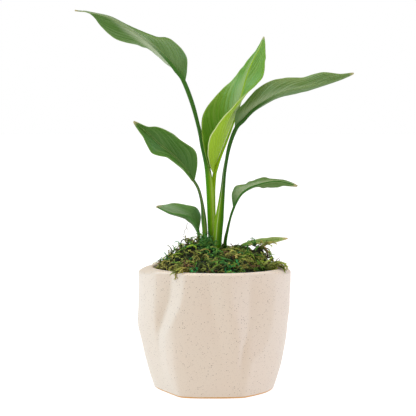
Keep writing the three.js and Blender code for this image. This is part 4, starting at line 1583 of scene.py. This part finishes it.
@dataclass
class MossMound:
    """The mound of dry moss: a core coloured near black as painted shade between the fronds, and the curled
    fronds that cover it, in millimetres.
    """

    mouth_centre: tuple[float, float] = (3.4, 0)
    mouth_radius: float = 65
    edge_height: float = 118.5
    dome_height: float = 21
    dome_exponent: float = 3.4
    right_inset: float = 0.09  # the mound ends this share of its radius sooner on the right
    bottom: float = 108.4
    core_depth: float = 5.0
    core_inset: float = 1.2  # from the mouth's radius
    core_grid: tuple[int, int] = (120, 44)
    core_top: float = 0.8  # the share of the grid's rows that lies on top
    fronds: int = 1300
    frond_margin: float = 3.0  # how far inside the mouth the outermost fronds start
    frond_length: tuple[float, float] = (7, 15)
    frond_rise: tuple[float, float] = (-0.3, 0.45)  # out of the mound's surface, as a slope
    turn_back: tuple[float, float] = (42, 60)  # the distances from the axis over which fronds turn inwards
    turn_back_share: float = 0.9
    seed: int = 7
    sprig_kinds: int = 12
    stem_steps: int = 7
    stem_rows: int = 6
    shoots: int = 8
    stem_turn: tuple[float, float] = (0.12, 0.5)  # how far each step turns sideways, in radians
    stem_rise: tuple[float, float] = (0.3, 0.8)  # how steeply it starts, in radians
    stem_dip: tuple[float, float] = (0.1, 0.3)  # and how much each step sinks
    shoot_lean: tuple[float, float] = (0.3, 0.9)  # of a side shoot towards the tip, as a slope
    shoot_rise: tuple[float, float] = (-0.5, 0.6)
    # of a sprig, as shares of its length
    stem_thickness: float = 0.075
    shoot_span: tuple[float, float] = (0.1, 0.94)
    shoot_length: float = 0.21
    shoot_thickness: float = 0.045
    # of the mat's unevenness, in millimetres
    lump_size: float = 9.0
    lump_height: float = 3.2
    gap_size: float = 6.0
    gap_layer: float = 40.0  # where the gaps' unevenness is read, apart from the lumps'
    gap_level: float = -0.16  # where the drawn unevenness is below this, the mat is open
    clumps: tuple[tuple[float, float, float, float], ...] = (  # x, y, height over the dome, width
        (-8, -9, 12.5, 10.5), (-27, 0, 11, 13), (19, -5, 5, 5.5), (46.5, 0, 12, 9), (8, -36, 3, 12),
        (-30, -34, -2, 12), (30, -32, 2, 11), (-10, 38, 5, 13), (32, 34, 3, 12),
    )
    patches: tuple[MossPatch, ...] = (
        MossPatch((-22, -55), 6, MossTone.EMERALD),
        MossPatch((14, -54), 6, MossTone.EMERALD),
        MossPatch((22.5, -43), 4, MossTone.EMERALD),
        MossPatch((-8, -13), 11, MossTone.FERN),
        MossPatch((-2, -26), 9, MossTone.FERN),
        MossPatch((49, -39), 8, MossTone.FRESH),
        MossPatch((34, -50), 6, MossTone.FRESH),
        MossPatch((2, -40), 9, MossTone.FRESH),
        MossPatch((42, -26), 4, MossTone.LIME),
        MossPatch((-29, -19), 5, MossTone.LIME),
        MossPatch((40.5, -41), 5, MossTone.BROWN),
        MossPatch((-26, -46), 4, MossTone.BROWN),
        MossPatch((-45, -30), 14, MossTone.KHAKI),
        MossPatch((-34, -50), 7, MossTone.KHAKI),
        MossPatch((-55, -8), 9, MossTone.KHAKI),
        MossPatch((53, -36), 6, MossTone.KHAKI),
        MossPatch((-20, 45), 9, MossTone.FRESH),
        MossPatch((30, 40), 7, MossTone.EMERALD),
        MossPatch((-48, 30), 8, MossTone.BROWN),
    )
    tufts: tuple[MossTuft, ...] = (
        MossTuft((-27, -53, 124), (-0.72, -0.5, -0.42), 16, MossTone.KHAKI, 7, 2.4),  # over the rim, left
        MossTuft((-29, -56, 124.5), (-0.5, -0.85, -0.1), 16, MossTone.KHAKI, 4, 1.5),
        MossTuft((-33, -57, 124), (-0.35, -0.85, -0.15), 15, MossTone.OLIVE, 4, 1.5),
        MossTuft((-35, -56, 120.5), (0.3, -0.6, -0.75), 8, MossTone.BROWN),
        MossTuft((-19, -55, 124), (-0.2, -0.7, 0.2), 10, MossTone.EMERALD, 4, 2.5),
        MossTuft((-53, -20, 124), (-0.85, -0.2, 0.35), 13, MossTone.KHAKI),
        MossTuft((-54, -16, 124), (-0.15, -0.2, 0.9), 9, MossTone.BROWN),
        MossTuft((-47, -12, 131), (-0.4, -0.2, 0.9), 10, MossTone.EMERALD),
        MossTuft((-43, -10, 135), (-0.5, -0.2, 0.85), 12, MossTone.DARK),
        MossTuft((-41, -12, 137), (-0.1, -0.2, 0.95), 9, MossTone.FERN),
        MossTuft((-35, -6, 143), (-0.35, -0.2, 0.95), 11, MossTone.EMERALD),
        MossTuft((-33, -4, 143), (0.45, -0.1, 0.85), 11, MossTone.DARK),
        MossTuft((-29, -3, 147), (0.1, -0.1, 0.95), 9, MossTone.KHAKI),
        MossTuft((50, -36, 123.5), (0.7, 0.55, 0.12), 18, MossTone.OLIVE, 9, 2.6),  # on the rim, right
        MossTuft((52, -32, 125), (0.75, 0.5, 0.22), 19, MossTone.BROWN, 2, 1.0),
        MossTuft((57, -31, 124.5), (0.85, 0.35, 0.12), 18, MossTone.OLIVE, 6, 2.2),
        MossTuft((60, -28, 125), (0.6, 0.3, 0.6), 9, MossTone.BROWN, 3, 2.0),
        MossTuft((60, -20, 125), (0.75, -0.2, -0.45), 12, MossTone.DARK),
        MossTuft((48, -4, 143), (0.95, -0.1, 0.2), 15, MossTone.KHAKI, 3, 2.0),
        MossTuft((47, -8, 140), (0.98, 0.0, -0.05), 13, MossTone.OLIVE, 3, 2.0),
        MossTuft((51, -10, 134), (0.9, -0.1, 0.35), 9, MossTone.FRESH, 2, 2.0),
        MossTuft((38, -4, 143), (-0.35, -0.2, 0.9), 12, MossTone.FERN, 3, 1.5),
        MossTuft((31, -18, 138), (-0.1, -0.35, 0.9), 13, MossTone.FERN, 2, 1.5),
        MossTuft((-9, -17, 146), (-0.1, -0.35, 0.9), 9, MossTone.FERN, 16, 4.0),  # the clump at the stalks
        MossTuft((-4, -17, 143), (0.5, -0.35, 0.7), 9, MossTone.FERN, 8, 3.0),
        MossTuft((-8, -20, 143), (0.0, -0.6, 0.6), 8, MossTone.FRESH, 5, 3.5),
    )

    def spread(self, x: float, y: float) -> float:
        """How far out the mound ends towards a place, as a share of the mouth's radius."""
        away = x - self.mouth_centre[0]
        return 1 - self.right_inset * max(0.0, away) / max(math.hypot(away, y - self.mouth_centre[1]), 1.0)

    def top(self, x: float, y: float) -> float:
        """The mound's height over a place in the pot, in millimetres.

        Args:
            x: how far right of the pot's axis it is.
            y: how far behind it.

        Returns:
            The height.
        """
        reach = math.hypot(x - self.mouth_centre[0], y - self.mouth_centre[1]) / self.mouth_radius
        dome = self.dome_height * max(0.0, 1 - (reach / self.spread(x, y)) ** self.dome_exponent)
        # low swellings, 16 to 37 mm from crest to crest
        lumps = 1.1 * math.sin(x * 0.31 + 1) * math.cos(y * 0.27) + 0.9 * math.sin(x * 0.17 - y * 0.4)
        clumps = sum(
            height * math.exp(-((x - cx) ** 2 + (y - cy) ** 2) / width**2)
            for cx, cy, height, width in self.clumps
        )
        return self.edge_height + dome + (lumps + clumps) * smooth(1.02 - reach, 0, 0.3)

    def normal(self, x: float, y: float) -> Vector:
        """The direction that the mound's surface faces over a place in the pot.

        Args:
            x: how far right of the pot's axis it is, in millimetres.
            y: how far behind it.

        Returns:
            The direction, 1 long.
        """
        step = 1.0
        slope_x = (self.top(x + step, y) - self.top(x - step, y)) / (2 * step)
        slope_y = (self.top(x, y + step) - self.top(x, y - step)) / (2 * step)
        return Vector((-slope_x, -slope_y, 1)).normalized()

    def build_core(self) -> bpy.types.Object:
        """The inside of the mound, coloured near black as painted shade in the gaps between the fronds.

        Returns:
            The core's piece.
        """
        edge = self.mouth_radius - self.core_inset

        def rule(turn: float, way: float) -> Vector:
            """A point of the core: over the top from its middle, then back below it."""
            angle = 2 * math.pi * turn
            over = way <= self.core_top
            share = way / self.core_top if over else (1 - way) / (1 - self.core_top)
            radius = edge * max(share, 0.002) ** 0.8
            x = self.mouth_centre[0] + radius * math.sin(angle)
            y = self.mouth_centre[1] - radius * math.cos(angle)
            crumb = 0.9 * math.sin(x * 1.3 + 2 * math.sin(y * 0.9)) * math.sin(y * 1.1 + x * 0.4)
            height = self.top(x, y) - self.core_depth + crumb if over else self.bottom
            return Vector((x, y, height)) * MM

        bm = wrapped_grid(*self.core_grid, rule, lambda turn, way: (turn, way))
        close_ends(bm)
        bmesh.ops.recalc_face_normals(bm, faces=bm.faces[:])
        # near black: painted shade where the core shows between the fronds
        shade_core_skin = DriedMoss(light="#2b300c", dark="#121405").material("moss_core_painted_shade")
        return add_piece(bm, "moss_core", [shade_core_skin], "moss", "moss")

    def sprig(self, draw: random.Random) -> bpy.types.Mesh:
        """One frond, 1 unit long: a curled stem with side shoots like a feather's.

        Args:
            draw: the source of its random curls.

        Returns:
            Its mesh, which starts at the origin and runs along +X.
        """
        turn, dip = draw.uniform(*self.stem_turn) * draw.choice((-1, 1)), draw.uniform(*self.stem_dip)
        yaw, pitch = -1.5 * turn, draw.uniform(*self.stem_rise)
        places = [Vector((0, 0, 0))]
        for k in range(self.stem_steps):
            level = Vector((math.cos(yaw), math.sin(yaw), 0)) * math.cos(pitch)
            places.append(places[-1] + (level + Vector((0, 0, math.sin(pitch)))) / self.stem_steps)
            yaw += turn * mix(0.5, 1.6, k / self.stem_steps)
            pitch -= dip
        stem = SmoothLine(tuple(places))
        bm = self._horn(stem, self.stem_thickness, self.stem_rows)
        for k in range(self.shoots):
            share = mix(*self.shoot_span, k / (self.shoots - 1))
            heading = stem.heading(share)
            side = heading.cross(Vector((0, 0, 1))).normalized() * (1 if k % 2 else -1)
            out = heading * draw.uniform(*self.shoot_lean) + side
            out = (out + Vector((0, 0, draw.uniform(*self.shoot_rise)))).normalized()
            length = self.shoot_length * (1 - 0.4 * share) * draw.uniform(0.7, 1.3)
            made = bmesh.ops.create_cone(
                bm, cap_ends=True, segments=3, radius1=self.shoot_thickness,
                radius2=0.2 * self.shoot_thickness, depth=length,
            )
            aim = out.to_track_quat("Z", "Y").to_matrix().to_4x4()
            pose = Matrix.Translation(stem.at(share) + out * length / 2) @ aim
            bmesh.ops.transform(bm, matrix=pose, verts=made["verts"])
        layer = bm.loops.layers.uv.verify()
        for face in bm.faces:
            face.smooth = True
            for loop in face.loops:
                loop[layer].uv = (0.5, clamp(loop.vert.co.length))
        mesh = bpy.data.meshes.new("sprig")
        bm.to_mesh(mesh)
        bm.free()
        return mesh

    @staticmethod
    def _horn(line: SmoothLine, thickness: float, rows: int) -> bmesh.types.BMesh:
        """A three-sided horn that tapers along a line.

        Args:
            line: its middle line.
            thickness: its radius where it starts.
            rows: how many faces long it is.

        Returns:
            Its shape, closed at both ends.
        """

        def rule(turn: float, way: float) -> Vector:
            """A point of the horn's skin."""
            heading = line.heading(way)
            across = heading.cross(Vector((0, 0, 1))).normalized()
            angle = 2 * math.pi * turn
            spoke = across * math.cos(angle) + heading.cross(across) * math.sin(angle)
            return line.at(way) + spoke * thickness * mix(1, 0.35, way)

        bm = wrapped_grid(3, rows, rule, lambda turn, way: (turn, way))
        close_ends(bm, 1e-4)
        bmesh.ops.recalc_face_normals(bm, faces=bm.faces[:])
        return bm

    def tone_at(self, x: float, y: float, draw: random.Random) -> MossTone:
        """The dye of a frond at a place: its patch's, or one drawn by the shares.

        Args:
            x: how far right of the pot's axis it is, in millimetres.
            y: how far behind it.
            draw: the source of random numbers.

        Returns:
            The dye.
        """
        for patch in self.patches:
            if math.hypot(x - patch.centre[0], y - patch.centre[1]) < patch.radius * draw.uniform(0.5, 1.15):
                return patch.tone
        return draw.choices(list(MossTone), [tone.share for tone in MossTone])[0]

    def mound_fronds(self, draw: random.Random) -> Iterator[Frond]:
        """The fronds that cover the core, from its middle outwards.

        Args:
            draw: the source of their places, ways and dyes.

        Yields:
            The fronds, with none where the mat is open.
        """
        clump_x, clump_y, _, clump_width = self.clumps[0]  # at the stalks, where it is never open
        for k in range(self.fronds):
            spoke = k * GOLDEN_ANGLE + draw.uniform(-0.05, 0.05)
            outward = Vector((math.cos(spoke), math.sin(spoke), 0))
            side = Vector((*self.mouth_centre, 0)) + outward
            edge = (self.mouth_radius - self.frond_margin) * self.spread(side.x, side.y)
            reach = edge * math.sqrt((k + 0.5) / self.fronds)
            x = self.mouth_centre[0] + reach * outward.x
            y = self.mouth_centre[1] + reach * outward.y
            kept = math.hypot(x - clump_x, y - clump_y) < clump_width
            if not kept and noise.noise(Vector((x, y, self.gap_layer)) / self.gap_size) < self.gap_level:
                continue
            upward = self.normal(x, y)
            turn = draw.uniform(0, 2 * math.pi)
            inward = outward * smooth(reach, *self.turn_back) * self.turn_back_share
            heading = Vector((math.cos(turn), math.sin(turn), 0)) - inward
            heading = (heading - upward * heading.dot(upward)).normalized()
            heading = (heading + upward * draw.uniform(*self.frond_rise)).normalized()
            lump = self.lump_height * noise.noise(Vector((x, y, 0)) / self.lump_size)
            depth = draw.uniform(0.8, self.core_depth) - lump
            root = Vector((x, y, self.top(x, y) - depth))
            tone = self.tone_at(x, y, draw)
            length = draw.uniform(*self.frond_length)
            yield Frond(root, heading, upward, length, tone, draw.randrange(self.sprig_kinds))

    def tuft_fronds(self, draw: random.Random) -> Iterator[Frond]:
        """The fronds of the tufts, scattered round each one's root and heading.

        Args:
            draw: the source of the scatter.

        Yields:
            The fronds, tuft by tuft.
        """
        for tuft in self.tufts:
            for _ in range(tuft.count):
                jitter = Vector([draw.uniform(-1, 1) for _ in range(3)])
                heading = (Vector(tuft.heading).normalized() + 0.1 * tuft.scatter * jitter).normalized()
                root = Vector(tuft.root) + tuft.scatter * jitter
                length = tuft.length * draw.uniform(0.8, 1.1)
                kind = draw.randrange(self.sprig_kinds)
                yield Frond(root, heading, Vector((0, 0, 1)), length, tuft.tone, kind)

    def build_fronds(self) -> list[bpy.types.Object]:
        """All fronds, joined to one piece for each dye.

        Returns:
            The pieces.
        """
        draw = random.Random(self.seed)
        sprigs = [self.sprig(draw) for _ in range(self.sprig_kinds)]
        mats = {tone: bmesh.new() for tone in MossTone}

        for frond in (*self.mound_fronds(draw), *self.tuft_fronds(draw)):
            mesh = sprigs[frond.kind].copy()
            mesh.transform(frond.pose())
            mats[frond.tone].from_mesh(mesh)
            bpy.data.meshes.remove(mesh)
        for mesh in sprigs:
            bpy.data.meshes.remove(mesh)
        pieces = []
        for tone, bm in mats.items():
            name = f"moss_{tone.name.lower()}"
            pieces.append(add_piece(bm, name, [tone.finish.material(name)], "moss", "moss"))
        return pieces

    def build(self) -> None:
        """The core and the fronds."""
        self.build_core()
        self.build_fronds()


@dataclass
class DryTendril:
    """The thin dry thread of moss that stands out on the left, with its one side thread, in millimetres."""

    main: tuple[Point, ...] = (
        (-26.5, -8, 166), (-28.4, -9, 161), (-30.2, -10, 156.5), (-31.2, -10, 153), (-28.4, -9, 151.2),
        (-23.5, -7, 150.5), (-20, -6, 147),
    )
    branch: tuple[Point, ...] = ((-28.2, -9, 161.5), (-26.4, -8, 159), (-26.8, -8, 155.5))
    radius: float = 0.28
    kink: float = 0.35
    kinks: float = 31  # how fast they follow each other, in radians over the thread
    sides: int = 6
    span_rows: int = 12  # from point to point
    skin: DriedMoss = DriedMoss(light="#a9a484", dark="#8a8468")

    def build(self) -> bpy.types.Object:
        """Both threads as one piece."""
        threads = [self._thread(points) for points in (self.main, self.branch)]
        mesh = bpy.data.meshes.new("thread")
        threads[1].to_mesh(mesh)
        threads[1].free()
        threads[0].from_mesh(mesh)
        bpy.data.meshes.remove(mesh)
        return add_piece(threads[0], "moss_tendril", [self.skin.material("dry_tendril")], "moss", "moss")

    def _thread(self, points: tuple[Point, ...]) -> bmesh.types.BMesh:
        """One round thread through points in millimetres.

        Args:
            points: the points.

        Returns:
            Its shape, closed at both ends.
        """
        line = SmoothLine.through(points)

        def rule(turn: float, way: float) -> Vector:
            """A point of the thread's skin."""
            heading = line.heading(way)
            face = Vector((0, 1, 0)).cross(heading).normalized()
            angle = 2 * math.pi * turn
            kink = self.kink * math.sin(way * self.kinks) * MM
            spoke = face * math.cos(angle) + heading.cross(face) * math.sin(angle)
            return line.at(way) + face * kink + spoke * self.radius * MM * (1 - 0.5 * way)

        rows = self.span_rows * (len(points) - 1)
        bm = wrapped_grid(self.sides, rows, rule, lambda turn, way: (turn, way))
        close_ends(bm)
        return bm


# ---- Studio -----------------------------------------------------------------------------------


@dataclass(frozen=True)
class SoftBox:
    """A broad soft light."""

    name: str
    azimuth: float  # where it stands, in degrees from the front to the right
    elevation: float  # its height over the floor, in degrees
    strength: float  # its light on a surface that faces it
    spread: float  # how broad it is, in degrees
    tint: str

    def hang(self) -> None:
        """Adds it to the scene."""
        light = bpy.data.lights.new(self.name, "SUN")
        light.energy = self.strength
        light.angle = math.radians(self.spread)
        light.color = linear_colour(self.tint)[:3]
        lamp = bpy.data.objects.new(self.name, light)
        turn, rise = math.radians(self.azimuth), math.radians(self.elevation)
        level = Vector((math.sin(turn), -math.cos(turn), 0)) * math.cos(rise)
        towards = level + Vector((0, 0, math.sin(rise)))
        lamp.rotation_euler = towards.to_track_quat("Z", "Y").to_euler()
        bpy.context.scene.collection.objects.link(lamp)


@dataclass
class Studio:
    """A light table in a white room, a broad light at each side and overhead, and the camera."""

    camera_place: Point = (-6.5, -1320, 264)  # in millimetres
    photo_width: float = 416  # pixels
    focal_length: float = 1322  # pixels
    pitch: float = 3.62  # degrees below level
    sensor: float = 36  # in millimetres
    floor_reach: float = 30.0  # in metres
    horizon: str = "#ffffff"
    sky: str = "#454545"
    sky_start: tuple[float, float] = (0.11, 0.15)  # how high in the sky the white of the horizon ends
    boxes: tuple[SoftBox, ...] = (
        SoftBox("left_window", -84, 45, 3.16, 60, "#bce0ff"),
        SoftBox("right_window", 84, 42, 2.12, 60, "#bcd7ff"),
        SoftBox("overhead_box", 0, 84, 1.93, 80, "#ffd173"),
    )

    def build(self) -> None:
        """The floor, the light and the camera."""
        self._floor()
        self._world()
        for box in self.boxes:
            box.hang()
        self._camera()
        bpy.context.scene.view_settings.view_transform = "Standard"

    def _floor(self) -> None:
        """The table."""
        bm = bmesh.new()
        bmesh.ops.create_grid(bm, x_segments=1, y_segments=1, size=self.floor_reach)
        mesh = bpy.data.meshes.new("studio_floor")
        bm.to_mesh(mesh)
        bm.free()
        mesh.materials.append(LightTable().material())
        floor = bpy.data.objects.new("studio_floor", mesh)
        bpy.context.scene.collection.objects.link(floor)

    def _world(self) -> None:
        """White light along the horizon, and a dim grey sky over it."""
        world = bpy.data.worlds.new("white_room")
        world.use_nodes = True
        tree = world.node_tree
        place = add_node(tree, "TexCoord", output="Generated")
        height = add_node(tree, "SeparateXYZ", {0: place}, "Z")
        low, high = self.sky_start
        above = add_node(tree, "MapRange", {"Value": height, "From Min": low, "From Max": high})
        bright, dim = linear_colour(self.horizon), linear_colour(self.sky)
        light = add_node(tree, "Mix", {0: above, 6: bright, 7: dim}, 2, data_type="RGBA")
        tree.links.new(light, tree.nodes["Background"].inputs["Color"])
        bpy.context.scene.world = world

    def _camera(self) -> None:
        """The camera, level with the moss and tipped a little down."""
        data = bpy.data.cameras.new("photo_camera")
        data.sensor_width = self.sensor
        data.lens = self.focal_length / self.photo_width * self.sensor
        data.clip_start, data.clip_end = 0.05, 100
        camera = bpy.data.objects.new("photo_camera", data)
        camera.location = Vector(self.camera_place) * MM
        camera.rotation_euler = (math.radians(90 - self.pitch), 0, 0)
        bpy.context.scene.collection.objects.link(camera)
        bpy.context.scene.camera = camera


# ---- The potted plant -------------------------------------------------------------------------


def main() -> None:
    """Builds the potted plant round its frame."""
    logging.basicConfig(level=logging.INFO, format="%(message)s")
    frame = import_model()
    Studio().build()
    StonewarePot().build()
    frame["nodes"]["soil"].data.materials.clear()
    frame["nodes"]["soil"].data.materials.append(PottingSoil().material())
    for leaf in grown_leaves():
        leaf.build()
    MossMound().build()
    DryTendril().build()
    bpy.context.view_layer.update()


if __name__ == "__main__":
    main()
